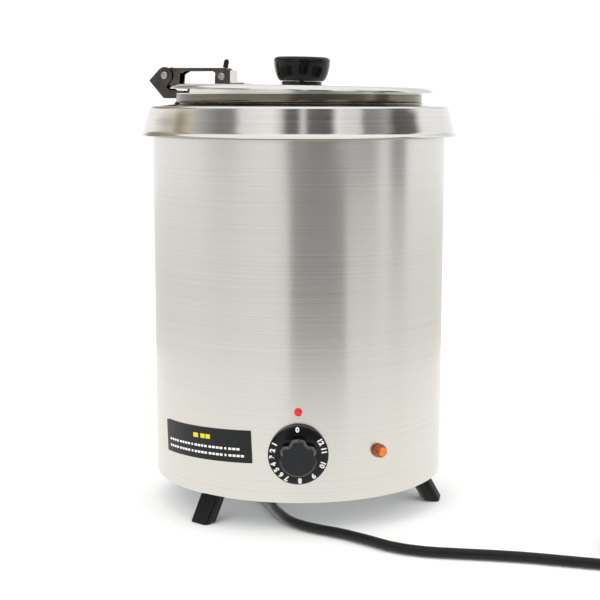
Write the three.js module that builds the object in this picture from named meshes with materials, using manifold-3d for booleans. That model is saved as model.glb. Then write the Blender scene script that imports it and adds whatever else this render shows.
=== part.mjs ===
// Countertop soup kettle: a round steel casing with a heated water pan, a lift-out pot hung in a
// flared ring, and a flat lid on a two-pivot hinge. Millimetres, +Z up, the dial faces -Y, the floor is z = 0.
import * as THREE from 'three';
import { mergeVertices } from 'three/addons/utils/BufferGeometryUtils.js';
import Module from 'manifold-3d';

const wasm = await Module();
wasm.setup();

// Fits
const gap = 0.3; // between pieces that touch
const holeClearance = 0.3; // round a shank, a bush or a cord gland, on the radius
const roundSteps = 48; // facets round a large ring
const smallSteps = 24; // facets round a small part

// Casing
const axisSetback = 3.5; // the casing's axis stands this far behind the footprint's centre
const bodyRadius = 135;
const sheet = 1.2; // pressed steel wall
const undersideHeight = 28.5; // floor to the base plate
const casingHeight = 314.5;
const casingTop = undersideHeight + casingHeight;
const casingEdge = 2; // radius at the casing's top edge
const plateRim = 13; // height of the base plate's turned-up rim

// Water pan and its heater
const panInset = 13; // casing's outside to the pan's
const panPlay = 3.5; // pan to the casing's turned-in top edge
const panRadius = bodyRadius - panInset;
const casingFlange = panInset - panPlay; // width of the casing's turned-in top edge
const controlSpace = 76.5; // base plate to the pan
const panBottom = undersideHeight + controlSpace;
const panCorner = 18;
const panFlange = panInset - 2;
const panBend = 2;
const insulationClearance = 1;
const insulationBottom = panBottom + 2;
const insulationTop = casingTop - 5;
const heaterInset = 37; // pan's outside to the element's ring
const heaterRing = panRadius - heaterInset; // radius of the element's ring
const heaterSection = 4; // radius of the element's tube
const heaterOpening = 14; // gap between the element's two ends
const terminalDrop = 18;
const studRadius = 3;
const studLength = 20;
const clampOverhang = 15; // the strap reaches this far past the element's ring
const clampLength = 2 * (heaterRing + clampOverhang);
const clampWidth = 24;
const clampThickness = 1.5;
const clampNutWidth = 10;
const clampNutHeight = 5;

// Flared top ring and pot
const lipOverhang = 11; // the ring's lip stands this far out from the casing
const lipDrop = 0.5; // and this far below its top
const lipRadius = bodyRadius + lipOverhang;
const lipHeight = casingTop - lipDrop;
const flareFoot = lipRadius - 2.8; // ring wall radius just above the lip
const flareTop = lipRadius - 7.6; // ring wall radius at the shoulder
const ringHeight = 27.5;
const ringTop = casingTop + ringHeight; // height of the ring's top face at the neck
const ringShoulder = 3;
const ringFall = 1.6; // the top face falls this much from the neck to the shoulder
const neckInset = 21.2; // casing's outside to the neck's
const neckRadius = bodyRadius - neckInset;
const neckHeight = 8.5;
const neckTop = ringTop + neckHeight;
const neckFillet = 4;
const seatPlay = 2.5; // pan's outside to the locating ring
const seatRadius = panRadius + seatPlay; // inside of the ring that stands on the pan's flange
const seatFlange = 8;
const potPlay = 2.6; // pot's wall to the neck's inside
const potRadius = neckRadius - sheet - potPlay;
const waterDepth = 14; // pan's floor to the pot's
const potBottom = panBottom + waterDepth;
const potCorner = 14;
const potBend = 1.2;
const potRimInset = 0.2;

// Lid, in the lid's own level frame, measured from its lower edge
const lidOverhang = 8.2; // the lid stands this far out from the neck
const lidRadius = neckRadius + lidOverhang;
const lidTilt = 1; // the hinged side stands up by this many degrees
const lidShift = 2.5; // the lid sits this far away from its hinge
const lidHeight = 4.6;
const lidShoulder = 10; // width of the rounded edge
const spigotPlay = 4.5; // pot's wall to the spigot's
const spigotRadius = potRadius - spigotPlay;
const spigotDepth = 8;
const spigotFlange = 9;
const lidPlay = 1.85; // neck's top to the lowest side of the spigot's flange
const lidDip = (spigotRadius + spigotFlange) * Math.sin(THREE.MathUtils.degToRad(lidTilt));
const lidLevel = neckTop + lidPlay + lidDip; // height of the lid's lower edge on the lid's axis
const knobRadius = 26.2;
const knobHeight = 22;
const knobFootRadius = knobRadius - 6.2;
const knobBaseRadius = knobFootRadius - 1.3;
const knobBaseHeight = 3.9;
const knobScrewRadius = 2.5;
const knobScrewDepth = 12;

// Hinge: an arm between a bracket on the neck and a bracket on the lid
const hingeTurn = 160; // the hinge's direction from the axis: 20 degrees behind the left-hand side
const outerPivot = { out: neckRadius + 19.5, up: neckTop + 18.8 };
const armReach = 59.1; // between the arm's pivots, along the lid
const lidPivot = { out: outerPivot.out - armReach + lidShift, up: 12.1 }; // in the lid's frame
const bracketWidth = 18;
const bracketSheet = 1.5;
const armSheet = 1.6;
const armStrapTop = outerPivot.up + 7.1;
const armStrapDepth = 3.2;
const armEnd = 6.6; // radius of the arm's two eyes
const stopHeight = 9.5;
const stopThickness = 4.8;
const stopWidth = bracketWidth - 10;
const stopLean = 2.6; // how far the stop's tip leans toward the knob
const outerEye = 8; // radius of the neck bracket's rounded end
const lidEye = 7;
const pinRadius = 2.5;
const pinHead = 3.4;
const pinHeadHeight = 1.3;
const rivetRadius = 1.6;
const rivetHead = 2.9;
const rivetHeadHeight = 1.1;
const rivetBack = 15; // the lid's pivot to the rivets
const rivetEdge = 4; // bracket's edge to a rivet
// outlines of the two pressings, each point out and up from the outer pivot
const bracketLine = {
  foot: -21.8, // lower end of its foot on the neck
  footTop: -14.4,
  toe: [1.1, -21.6],
  nose: [16.2, -4.8],
  waist: [[-3.4, -8.2], [-1.6, -11.2], [-5.4, -14.1]],
  footSeam: 0.6, // room for the bend at the foot
  web: 2.2, // the face between the nose and the toe
  toeWeb: 1.2,
  toeFloor: 0.8,
};
const armLine = {
  crown: -4, // where the strap leaves the outer eye
  tip: [[-2.6, -0.5], [-5, -2.6]], // above the inner pivot, under the strap's top
  neck: [[1.2, -1.6], [3.6, 0]], // past the inner eye, under the strap
  heel: [[-20, 0], [-14.5, -3]], // past the outer eye, under the strap
  cheek: [[-13.6, -8], [-8, -10.5]],
};

// Controls
const dialRise = 44; // base plate to the dial's axis
const dialHeight = undersideHeight + dialRise;
const dialRadius = 26.2;
const dialStandoff = 1.2; // casing to the skirt's back, on the dial's axis
const skirtDepth = 4.4;
const skirtWall = 1.6;
const gripRadius = dialRadius - 9.6;
const gripDepth = 12;
const gripSteps = 72;
const gripFlutes = [[-36, 20, 3.2], [36, 20, 3.2], [-82, 15, 1.6], [82, 15, 1.6]]; // turn, half width, depth
const skirtRim = 2.2;
const skirtChamfer = 1.4;
const skirtHollow = 3; // skirt's edge to its hollow back
const shaftInset = 6; // the shaft's tip, inside the grip's face
const shaftRadius = 3;
const shaftLength = 26;
const thermostatSize = [44, 36, 27]; // width, height, depth
const thermostatSetback = 5.5; // casing's outside to the thermostat's front
const bushRadius = 5;
const bushLength = 8.5;
const bushNutWidth = 14;
const bushNutHeight = 2.2;
const bulbRadius = 3;
const bulbLength = 70;
const bulbAlong = -45; // the bulb's line under the pan
const capillaryRadius = 1.1;
const bulbTail = [[3, 0, 0], [-6, -3, -2], [-10, -17, -12]]; // from the bulb's end
const bodyTail = [[-30, 18.5, 8], [-12, 8, 4], [-10, 1, 0]]; // up to the thermostat's back
const cutoutPlace = [38, 48];
const cutoutCap = [8, 6]; // radius and height
const cutoutTerminals = [14, 6, 7];
const blockPlace = [50, 40];
const blockSize = [44, 18, 12];
const blockCrown = [40, 8, 5];
const mergeDepth = 0.5; // one moulding's overlap into the next of the same piece
const indexHeight = dialHeight + dialRadius + 10.5;
const indexRadius = 3.5;
const indexDome = 1.6;
const indexShank = 1.7;
const lampAlong = 73.75; // from the dial to the lamp, along the wall
const lampHeight = dialHeight - 1.8;
const lampRadius = 6.3;
const lampFace = lampRadius - 2.1;
const lampReach = 8;
const lampBarrel = lampRadius - 1.3;
const lampDepth = 24;
const lampNutRadius = lampBarrel + 3;
const labelAlong = -92.83;
const labelHeight = dialHeight + 2.2;
const labelSize = [103.5, 28.7];
const labelThickness = 0.8;
const labelTilt = 2.5;

// Feet
const footAzimuths = [-41, 79, 199];
const footNames = ['foot_front_left', 'foot_right', 'foot_back'];
const footReach = bodyRadius - 5.5; // axis to the middle of a foot's sole
const footSplay = 29.6; // degrees from upright
const footSection = [17, 23]; // along and across the splay
const footCorner = 5;
const footBevel = 1.5;
const footSlope = Math.tan(THREE.MathUtils.degToRad(footSplay));
const footScrewOut = 2.5; // the screw stands this far out from the middle of the leg's top
const footScrewIn = footSlope * (undersideHeight - gap) - footScrewOut; // from the sole's middle
const footScrewDepth = 11;
const footScrewRadius = 2;
const footScrewHead = 3.8;
const footScrewHeadHeight = 2.4;

// Mains cord: the gland, the run along the floor, the coil and the plug
const cordRadius = 4.5;
const glandPlace = [-36, 58]; // on the footprint
const glandStem = 6.5;
const glandStemTop = undersideHeight + 11.5;
const glandBlock = [22, 26, undersideHeight - 9.5];
const glandNutWidth = 19;
const glandNutHeight = 5;
const noseTip = cordRadius + 1.4;
const noseFoot = noseTip + 2.1;
const noseEnd = [-35.2, 8, 11];
const coilCentre = [318, -180];
const coilRadius = 49.5;
const coilTurns = 3;
const plugRadius = 18.5;
const plugLength = 36;
const plugBootLength = 22;
const plugStart = [coilCentre[0] + coilRadius + 26.5, coilCentre[1] - 7];
const plugPinRadius = 2.4;
const plugPinLength = 19;
const plugPinSpacing = 19;
const tieWidth = 12;
const tieThickness = 1.5;
const floorRun = [
  [-34.9, -8, 8.6],
  [-33.2, -24, 5.6],
  [-29.6, -41, cordRadius],
  [-24.5, -55, cordRadius],
  [-20.5, -71, cordRadius],
  [-15.2, -87, cordRadius],
  [-7.3, -104.5, cordRadius],
  [3.4, -118, cordRadius],
  [18, -129, cordRadius],
  [36, -140, cordRadius],
  [57.5, -157, cordRadius],
  [80, -176.5, cordRadius],
  [104, -187.5, cordRadius],
  [130, -192.5, cordRadius],
  [160, -197, cordRadius],
  [190, -203, cordRadius],
  [220, -211.5, cordRadius],
  [250, -220, cordRadius],
];
// Round the coil: degrees from +X, clearance from the coil, and the share of the way down to the plug's height
const coilEntry = [-125.7, 0.6, 0];
const tailRun = [
  [-55.5, 1.55, 0],
  [-42.5, 6.6, 0.27],
  [-30.6, 11.2, 0.6],
  [-19.5, 14.7, 0.87],
  [-11.3, 18.2, 1],
];

// Finishes
function finish(color, roughness, metalness) {
  return new THREE.MeshStandardMaterial({ color, roughness, metalness });
}
const casingSteel = finish(0xc9c8c4, 0.32, 1);
const polishedSteel = finish(0xd4d4d2, 0.14, 1);
const platedSteel = finish(0xb4b6b8, 0.35, 1);
const blackPlastic = finish(0x101113, 0.22, 0);
const blackRubber = finish(0x17181a, 0.55, 0);
const woolGrey = finish(0xb9b4a6, 0.95, 0);
const redPlastic = finish(0xb8141c, 0.3, 0);
const amberPlastic = finish(0xd9822b, 0.15, 0);
const labelBlack = finish(0x15161a, 0.4, 0);
const ceramicWhite = finish(0xdad6cb, 0.6, 0);
const brass = finish(0xb99a5b, 0.3, 1);

// Solids and joins
function solid(geometry) {
  const bare = geometry.index ? geometry.toNonIndexed() : geometry.clone();
  bare.deleteAttribute('normal');
  bare.deleteAttribute('uv');
  const merged = mergeVertices(bare, 1e-4);
  const corners = merged.index.array;
  const kept = [];
  for (let i = 0; i < corners.length; i += 3) {
    const [a, b, c] = [corners[i], corners[i + 1], corners[i + 2]];
    if (a !== b && b !== c && c !== a) kept.push(a, b, c);
  }
  return new wasm.Manifold(new wasm.Mesh({
    numProp: 3,
    vertProperties: merged.attributes.position.array,
    triVerts: new Uint32Array(kept),
  }));
}

function toGeometry(shape) {
  const mesh = shape.getMesh();
  const geometry = new THREE.BufferGeometry();
  geometry.setAttribute('position', new THREE.BufferAttribute(mesh.vertProperties, 3));
  geometry.setIndex(new THREE.BufferAttribute(mesh.triVerts, 1));
  return geometry;
}

function join(first, ...others) {
  return toGeometry(others.reduce((whole, piece) => whole.add(solid(piece)), solid(first)));
}

function cut(first, ...others) {
  return toGeometry(others.reduce((whole, piece) => whole.subtract(solid(piece)), solid(first)));
}

function signedVolume(geometry) {
  const flat = geometry.index ? geometry.toNonIndexed() : geometry;
  const at = flat.attributes.position;
  const [a, b, c] = [new THREE.Vector3(), new THREE.Vector3(), new THREE.Vector3()];
  let volume = 0;
  for (let i = 0; i < at.count; i += 3) {
    a.fromBufferAttribute(at, i);
    b.fromBufferAttribute(at, i + 1);
    c.fromBufferAttribute(at, i + 2);
    volume += a.dot(b.cross(c));
  }
  return volume;
}

// A profile of [radius, height] points turned about Z. It closes on itself, or starts and ends on the axis.
function revolve(profile, steps = roundSteps) {
  const outline = profile.map(([r, z]) => new THREE.Vector2(r, z));
  if (profile[0][0] > 0) outline.push(outline[0].clone());
  let geometry = new THREE.LatheGeometry(outline, steps);
  geometry.rotateX(Math.PI / 2);
  if (signedVolume(geometry) < 0) {
    geometry.dispose();
    geometry = new THREE.LatheGeometry(outline.reverse(), steps);
    geometry.rotateX(Math.PI / 2);
  }
  return toGeometry(solid(geometry));
}

function arc(r, z, radius, from, to, steps = 5) {
  return Array.from({ length: steps + 1 }, (_, i) => {
    const angle = THREE.MathUtils.degToRad(from + ((to - from) * i) / steps);
    return [r + radius * Math.cos(angle), z + radius * Math.sin(angle)];
  });
}

// The path moved sideways by a wall, to the left of its direction.
function besidePath(path, wall) {
  const normals = path.slice(1).map(([r, z], i) => {
    const length = Math.hypot(r - path[i][0], z - path[i][1]);
    return [-(z - path[i][1]) / length, (r - path[i][0]) / length];
  });
  return path.map(([r, z], i) => {
    const before = normals[Math.max(i - 1, 0)];
    const after = normals[Math.min(i, normals.length - 1)];
    const share = 1 + before[0] * after[0] + before[1] * after[1];
    return [r + (wall * (before[0] + after[0])) / share, z + (wall * (before[1] + after[1])) / share];
  });
}

// A sheet pressing: the path is one face, and the wall lies to its left.
function pressing(path, wall = sheet, steps = roundSteps) {
  const inner = besidePath(path, wall).reverse();
  return revolve([...path, ...inner.map(([r, z]) => [Math.max(r, 0), z])], steps);
}

function rod(radius, from, to, steps = smallSteps) {
  const geometry = new THREE.CylinderGeometry(radius, radius, to - from, steps);
  return geometry.rotateX(Math.PI / 2).translate(0, 0, (from + to) / 2);
}

function block(x, y, z, width, depth, height) {
  return new THREE.BoxGeometry(width, depth, height).translate(x, y, z);
}

function outlineShape(points) {
  return new THREE.Shape(points.map(([x, y]) => new THREE.Vector2(x, y)));
}

function slab(shape, depth) {
  return new THREE.ExtrudeGeometry(shape, { depth, bevelEnabled: false, curveSegments: 8 });
}

function hexNut(across, bore, from, to) {
  const corner = across / Math.sqrt(3);
  const points = arc(0, 0, corner, 0, 300, 5);
  const nut = slab(outlineShape(points), to - from).translate(0, 0, from);
  return cut(nut, rod(bore, from - 1, to + 1));
}

function tube(points, radius, sides, steps) {
  const path = new THREE.CatmullRomCurve3(points.map((p) => new THREE.Vector3(...p)), false, 'centripetal');
  const section = outlineShape(arc(0, 0, radius, 0, 360 - 360 / sides, sides - 1));
  const geometry = new THREE.ExtrudeGeometry(section, { steps, extrudePath: path, bevelEnabled: false });
  return toGeometry(solid(geometry));
}

// Groups
const kettle = new THREE.Group();
const onAxis = new THREE.Group();
onAxis.position.y = axisSetback;
kettle.add(onAxis);

function place(name, material, geometry, group = onAxis) {
  const mesh = new THREE.Mesh(geometry, material);
  mesh.name = name;
  group.add(mesh);
  return mesh;
}

// A frame on the casing's wall: Z out of the wall, Y up.
function onWall(azimuth, height) {
  const group = new THREE.Group();
  const turn = THREE.MathUtils.degToRad(azimuth);
  const out = new THREE.Vector3(Math.sin(turn), -Math.cos(turn), 0);
  const side = new THREE.Vector3(Math.cos(turn), Math.sin(turn), 0);
  const basis = new THREE.Matrix4().makeBasis(side, new THREE.Vector3(0, 0, 1), out);
  group.quaternion.setFromRotationMatrix(basis);
  group.position.copy(out).multiplyScalar(bodyRadius).setZ(height);
  onAxis.add(group);
  return group;
}

// A shape in a wall frame, brought to the casing's frame.
function inCasing(geometry, group) {
  group.updateMatrix();
  return geometry.clone().applyMatrix4(group.matrix);
}

const dialWall = onWall(0, dialHeight);
const indexWall = onWall(0, indexHeight);
const lampWall = onWall(THREE.MathUtils.radToDeg(lampAlong / bodyRadius), lampHeight);

const inside = bodyRadius - sheet;
const plateRadius = inside - gap;
const plateTop = undersideHeight + sheet;

function buildCasing() {
  const path = [
    [bodyRadius, undersideHeight],
    [bodyRadius, casingTop - casingEdge],
    ...arc(bodyRadius - casingEdge, casingTop - casingEdge, casingEdge, 0, 90, 3).slice(1),
    [bodyRadius - casingFlange, casingTop],
  ];
  const holeDepth = 12;
  const holes = [
    inCasing(rod(bushRadius + holeClearance, -holeDepth, holeDepth), dialWall),
    inCasing(rod(indexShank + holeClearance, -holeDepth, holeDepth), indexWall),
    inCasing(rod(lampBarrel + holeClearance, -holeDepth, holeDepth), lampWall),
  ];
  place('outer_shell', casingSteel, cut(pressing(path), ...holes));

  const plate = pressing([
    [0, undersideHeight],
    ...arc(plateRadius - 2, undersideHeight + 2, 2, -90, 0, 3),
    [plateRadius, undersideHeight + plateRim],
  ]);
  const glandHole = rod(glandStem + holeClearance, 0, glandStemTop)
    .translate(glandPlace[0], glandPlace[1] - axisSetback, 0);
  const screwHoles = footAzimuths.map((azimuth) => {
    const turn = THREE.MathUtils.degToRad(azimuth);
    const reach = footReach - footScrewIn;
    return rod(footScrewRadius + holeClearance, 0, glandStemTop)
      .translate(reach * Math.sin(turn), -reach * Math.cos(turn), 0);
  });
  place('base_plate', platedSteel, cut(plate, glandHole, ...screwHoles));
}

function buildWaterPan() {
  const flangeHeight = casingTop + gap;
  const path = [
    [0, panBottom],
    ...arc(panRadius - panCorner, panBottom + panCorner, panCorner, -90, 0, 3),
    [panRadius, flangeHeight - panBend],
    [panRadius + panBend, flangeHeight],
    [panRadius + panFlange, flangeHeight],
  ];
  const stud = rod(studRadius, panBottom - studLength, panBottom + sheet / 2);
  place('water_pan', platedSteel, join(pressing(path), stud));

  place('insulation_sleeve', woolGrey, revolve([
    [panRadius + insulationClearance, insulationBottom],
    [inside - insulationClearance, insulationBottom],
    [inside - insulationClearance, insulationTop],
    [panRadius + insulationClearance, insulationTop],
  ], 48));

  const ringHeight = panBottom - gap - heaterSection;
  const ring = revolve(arc(heaterRing, ringHeight, heaterSection, 0, 315, 7), 32);
  const opening = block(0, heaterRing, ringHeight, heaterOpening, 4 * heaterSection, 4 * heaterSection);
  const ends = [-1, 1].map((side) => {
    const across = side * (heaterOpening / 2 + heaterSection);
    const along = Math.sqrt(heaterRing ** 2 - across ** 2);
    return rod(heaterSection - 1, ringHeight - terminalDrop, ringHeight, 12).translate(across, along, 0);
  });
  place('heating_element', platedSteel, join(cut(ring, opening), ...ends));

  const clampTop = ringHeight - heaterSection - gap;
  const strap = block(0, 0, clampTop - clampThickness / 2, clampLength, clampWidth, clampThickness);
  place('element_clamp', platedSteel, cut(strap, rod(studRadius + holeClearance, 0, panBottom)));
  const nutTop = clampTop - clampThickness - gap;
  place('clamp_nut', platedSteel,
    hexNut(clampNutWidth, studRadius + holeClearance, nutTop - clampNutHeight, nutTop));

  const [capRadius, capHeight] = cutoutCap;
  const [wide, deep, high] = cutoutTerminals;
  const capFoot = panBottom - gap - capHeight;
  const cutout = join(
    rod(capRadius, capFoot, panBottom - gap),
    block(0, 0, capFoot - high / 2 + mergeDepth, wide, deep, high),
  ).translate(...cutoutPlace, 0);
  place('thermal_cutout', ceramicWhite, cutout);
}

function buildThermostat() {
  const [width, height, depth] = thermostatSize;
  const body = block(0, 0, -thermostatSetback - depth / 2, width, height, depth);
  const bush = rod(bushRadius, -thermostatSetback - 1, -thermostatSetback + bushLength);
  const bore = rod(shaftRadius + holeClearance, -thermostatSetback - 8, bushLength);
  place('thermostat_body', blackPlastic, cut(join(body, bush), bore), dialWall);
  place('bush_nut', brass, hexNut(bushNutWidth, bushRadius + holeClearance, gap, gap + bushNutHeight), dialWall);

  const bulbHeight = panBottom - gap - bulbRadius;
  const bulb = rod(bulbRadius, 0, bulbLength, 12).rotateY(Math.PI / 2)
    .translate(-bulbLength / 2, bulbAlong, bulbHeight);
  const bodyBack = -bodyRadius + thermostatSetback + depth;
  const capillary = tube([
    ...bulbTail.map(([x, y, z]) => [x - bulbLength / 2, bulbAlong + y, bulbHeight + z]),
    ...bodyTail.map(([x, y, z]) => [x, bodyBack + y, dialHeight + z]),
  ], capillaryRadius, 6, 16);
  place('thermostat_bulb', brass, join(bulb, capillary));
  place('terminal_block', ceramicWhite, join(
    block(...blockPlace, plateTop + gap + blockSize[2] / 2, ...blockSize),
    block(...blockPlace, plateTop + gap + blockSize[2] + blockCrown[2] / 2 - mergeDepth, ...blockCrown),
  ));
}

function gripOutline() {
  const points = [];
  for (let i = 0; i < gripSteps; i += 1) {
    const angle = i * 360 / gripSteps - 180;
    const dent = gripFlutes.reduce((sum, [middle, half, depth]) => {
      const away = Math.min(Math.abs(angle - middle) / half, 1);
      return sum + depth / 2 * (1 + Math.cos(Math.PI * away));
    }, 0);
    const turn = THREE.MathUtils.degToRad(angle);
    points.push([(gripRadius - dent) * Math.sin(turn), (gripRadius - dent) * Math.cos(turn)]);
  }
  return points.reverse();
}

function buildDial() {
  const back = dialStandoff;
  const front = back + skirtDepth;
  const hub = shaftRadius + holeClearance;
  place('dial_skirt', blackPlastic, revolve([
    [dialRadius, back],
    [dialRadius, back + skirtRim],
    [dialRadius - skirtChamfer, front],
    [hub, front],
    [hub, front - skirtWall],
    [dialRadius - skirtHollow, front - skirtWall],
    [dialRadius - skirtWall, back],
  ], 48), dialWall);
  const grip = slab(outlineShape(gripOutline()), gripDepth).translate(0, 0, front + gap);
  const shaftTip = shaftLength - thermostatSetback - shaftInset;
  place('dial_grip', blackPlastic, cut(grip, rod(hub, 0, shaftTip + gap)), dialWall);
  place('thermostat_shaft', platedSteel, rod(shaftRadius, shaftTip - shaftLength, shaftTip), dialWall);
}

function buildWallPieces() {
  place('index_dot', redPlastic, join(
    revolve([[0, gap], [indexRadius, gap], [indexRadius, gap + 0.5],
      [indexRadius * 0.7, gap + indexDome * 0.75], [0, gap + indexDome]], smallSteps),
    rod(indexShank, -sheet - 2 * gap, gap + 0.4, 12),
  ), indexWall);

  const lens = revolve([[0, gap], [lampRadius, gap], [lampRadius, gap + 1.6],
    [lampFace, lampReach], [0, lampReach]], 16);
  const lensBore = rod(lampBarrel - 1 + gap, gap - 1, 3.5, 16);
  place('lamp_lens', amberPlastic, cut(lens, lensBore), lampWall);
  const barrel = join(rod(lampBarrel, -lampDepth, 0, 16), rod(lampBarrel - 1, -1, 3, 16));
  place('lamp_holder', blackPlastic, barrel, lampWall);
  const nutBack = -sheet - 1.2;
  place('lamp_nut', platedSteel,
    cut(rod(lampNutRadius, nutBack - 3, nutBack), rod(lampBarrel + holeClearance, nutBack - 4, 1)), lampWall);

  const [wide, high] = labelSize;
  const label = new THREE.BoxGeometry(wide, high, labelThickness, 24, 1, 1);
  label.rotateZ(THREE.MathUtils.degToRad(labelTilt));
  const at = label.attributes.position;
  for (let i = 0; i < at.count; i += 1) {
    const turn = (labelAlong + at.getX(i)) / bodyRadius;
    const reach = bodyRadius + gap + labelThickness / 2 + at.getZ(i);
    at.setXYZ(i, reach * Math.sin(turn), -reach * Math.cos(turn), labelHeight + at.getY(i));
  }
  place('label_plate', labelBlack, toGeometry(solid(label)));
}

function buildFeet() {
  const footTop = undersideHeight - gap;
  const [along, across] = footSection;
  const half = [along / 2 - footBevel, across / 2 - footBevel];
  const corners = [[1, 1, 0], [-1, 1, 90], [-1, -1, 180], [1, -1, 270]];
  const outline = corners.flatMap(([x, y, from]) => arc(
    x * (half[0] - footCorner), y * (half[1] - footCorner), footCorner, from, from + 90, 4));
  footAzimuths.forEach((azimuth, i) => {
    const leg = new THREE.ExtrudeGeometry(outlineShape(outline), {
      depth: footTop - 2 * footBevel,
      bevelThickness: footBevel,
      bevelSize: footBevel,
      bevelSegments: 2,
    });
    leg.translate(0, 0, footBevel);
    const lean = new THREE.Matrix4().set(1, 0, -footSlope, 0, 0, 1, 0, 0, 0, 0, 1, 0, 0, 0, 0, 1);
    leg.applyMatrix4(lean);
    const bore = rod(footScrewRadius + holeClearance, footTop - footScrewDepth - 1, footTop + 1, 12)
      .translate(-footScrewIn, 0, 0);
    const foot = new THREE.Group();
    foot.rotation.z = THREE.MathUtils.degToRad(azimuth - 90);
    foot.position.set(
      footReach * Math.cos(foot.rotation.z), footReach * Math.sin(foot.rotation.z), 0);
    onAxis.add(foot);
    place(footNames[i], blackPlastic, cut(leg, bore), foot);
    const head = plateTop + gap;
    const screw = join(
      rod(footScrewRadius, footTop - footScrewDepth, head + 1, 12),
      rod(footScrewHead, head, head + footScrewHeadHeight, 12),
    ).translate(-footScrewIn, 0, 0);
    place(`${footNames[i]}_screw`, platedSteel, screw, foot);
  });
}

function buildTopRing() {
  const shoulder = ringTop - ringFall - ringShoulder;
  const path = [
    [lipRadius, lipHeight],
    [flareFoot + 1, lipHeight + 1.9],
    [flareFoot, lipHeight + 4.2],
    [flareTop, shoulder],
    ...arc(flareTop - ringShoulder, shoulder, ringShoulder, 8, 86, 3),
    ...arc(neckRadius + neckFillet, ringTop + neckFillet, neckFillet, 270, 180, 3),
    [neckRadius, neckTop],
  ];
  place('collar_ring', casingSteel, pressing(path));

  const foot = casingTop + gap + sheet + gap;
  place('locating_ring', platedSteel, revolve([
    [seatRadius, foot],
    [seatRadius + seatFlange, foot],
    [seatRadius + seatFlange, foot + sheet],
    [seatRadius + sheet, foot + sheet],
    [seatRadius + sheet, ringTop - ringFall - sheet - gap],
    [seatRadius, ringTop - ringFall - sheet - gap],
  ]));

  const rim = neckTop + gap;
  place('inner_pot', polishedSteel, pressing([
    [0, potBottom],
    ...arc(potRadius - potCorner, potBottom + potCorner, potCorner, -90, 0, 4),
    [potRadius, rim - potBend],
    [potRadius + potBend, rim],
    [neckRadius - potRimInset, rim],
  ]));
}

// The hinge's frame: X out from the axis, Z up. The lid's frame is tilted in it.
const hingeGroup = new THREE.Group();
hingeGroup.rotation.z = THREE.MathUtils.degToRad(hingeTurn);
onAxis.add(hingeGroup);
const lidGroup = new THREE.Group();
lidGroup.position.set(-lidShift, 0, lidLevel);
lidGroup.rotation.y = THREE.MathUtils.degToRad(-lidTilt);
hingeGroup.add(lidGroup);
lidGroup.updateMatrix();
const lidPivotPoint = new THREE.Vector3(lidPivot.out, 0, lidPivot.up).applyMatrix4(lidGroup.matrix);

// A side profile of [out, up] points made into a piece that is centred on the hinge's middle plane.
function across(points, width) {
  return slab(outlineShape(points), width).rotateX(Math.PI / 2).translate(0, width / 2, 0);
}

function crossRod(radius, length, out, up, steps = smallSteps) {
  return rod(radius, -length / 2, length / 2, steps).rotateX(Math.PI / 2).translate(out, 0, up);
}

function pin(length, head, out, up) {
  const half = length / 2;
  const profile = [
    [0, -half - pinHeadHeight],
    [head * 0.6, -half - pinHeadHeight * 0.85],
    [head, -half - gap],
    [pinRadius, -half - gap],
    [pinRadius, half + gap],
    [head, half + gap],
    [head * 0.6, half + pinHeadHeight * 0.85],
    [0, half + pinHeadHeight],
  ];
  return revolve(profile, smallSteps).rotateX(Math.PI / 2).translate(out, 0, up);
}

const pinBore = pinRadius + holeClearance;

function buildNeckBracket() {
  const { out, up } = outerPivot;
  const line = bracketLine;
  const at = ([x, z]) => [out + x, up + z];
  const foot = Math.sqrt(neckRadius ** 2 - (bracketWidth / 2) ** 2) + gap + line.footSeam;
  const nose = at(line.nose);
  const toe = at(line.toe);
  const side = [
    [foot, up + line.foot],
    toe,
    nose,
    ...arc(out, up, outerEye, 45, 215, 8),
    ...line.waist.map(at),
    [foot, up + line.footTop],
  ];
  const below = toe[1] - outerEye;
  const above = up + 2.5 * outerEye;
  const hollow = across([
    [foot - outerEye, below],
    [toe[0] - line.toeWeb, below],
    [toe[0] - line.toeWeb, toe[1] + line.toeFloor],
    [nose[0] - line.web, nose[1]],
    [out + outerEye / 2, above],
    [foot - outerEye, above],
  ], bracketWidth - 2 * bracketSheet);
  const holes = crossRod(pinBore, 2 * bracketWidth, out, up);
  place('neck_bracket', polishedSteel, cut(across(side, bracketWidth), hollow, holes), hingeGroup);
}

function buildArm() {
  const width = bracketWidth - 2 * bracketSheet - 2 * gap;
  const { out, up } = outerPivot;
  const inner = lidPivotPoint;
  const strapBottom = armStrapTop - armStrapDepth;
  const side = [
    ...arc(out, up, armEnd, -60, 80, 6),
    [out + armLine.crown, armStrapTop],
    ...armLine.tip.map(([x, z]) => [inner.x + x, armStrapTop + z]),
    ...arc(inner.x, inner.z, armEnd, 150, 330, 6),
    ...armLine.neck.map(([x, z]) => [inner.x + armEnd + x, strapBottom + z]),
    ...armLine.heel.map(([x, z]) => [out + x, strapBottom + z]),
    ...armLine.cheek.map(([x, z]) => [out + x, up + z]),
  ];
  const depth = 4 * armEnd;
  const slot = block((out + inner.x) / 2, 0, armStrapTop - armSheet - depth / 2,
    2 * (out - inner.x), width - 2 * armSheet, depth);
  const bore = 2 * bracketWidth;
  const holes = [crossRod(pinBore, bore, out, up), crossRod(pinBore, bore, inner.x, inner.z)];
  place('hinge_arm', polishedSteel, cut(across(side, width), slot, ...holes), hingeGroup);
  place('neck_pin', polishedSteel, pin(bracketWidth, pinHead, out, up), hingeGroup);

  const foot = armStrapTop + gap;
  const half = stopThickness / 2;
  const stop = across([
    [inner.x - half, foot],
    [inner.x + half, foot],
    ...arc(inner.x - stopLean, foot + stopHeight - half, half, 0, 180, 6),
  ], stopWidth);
  place('arm_stop', blackRubber, stop, hingeGroup);
}

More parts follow.
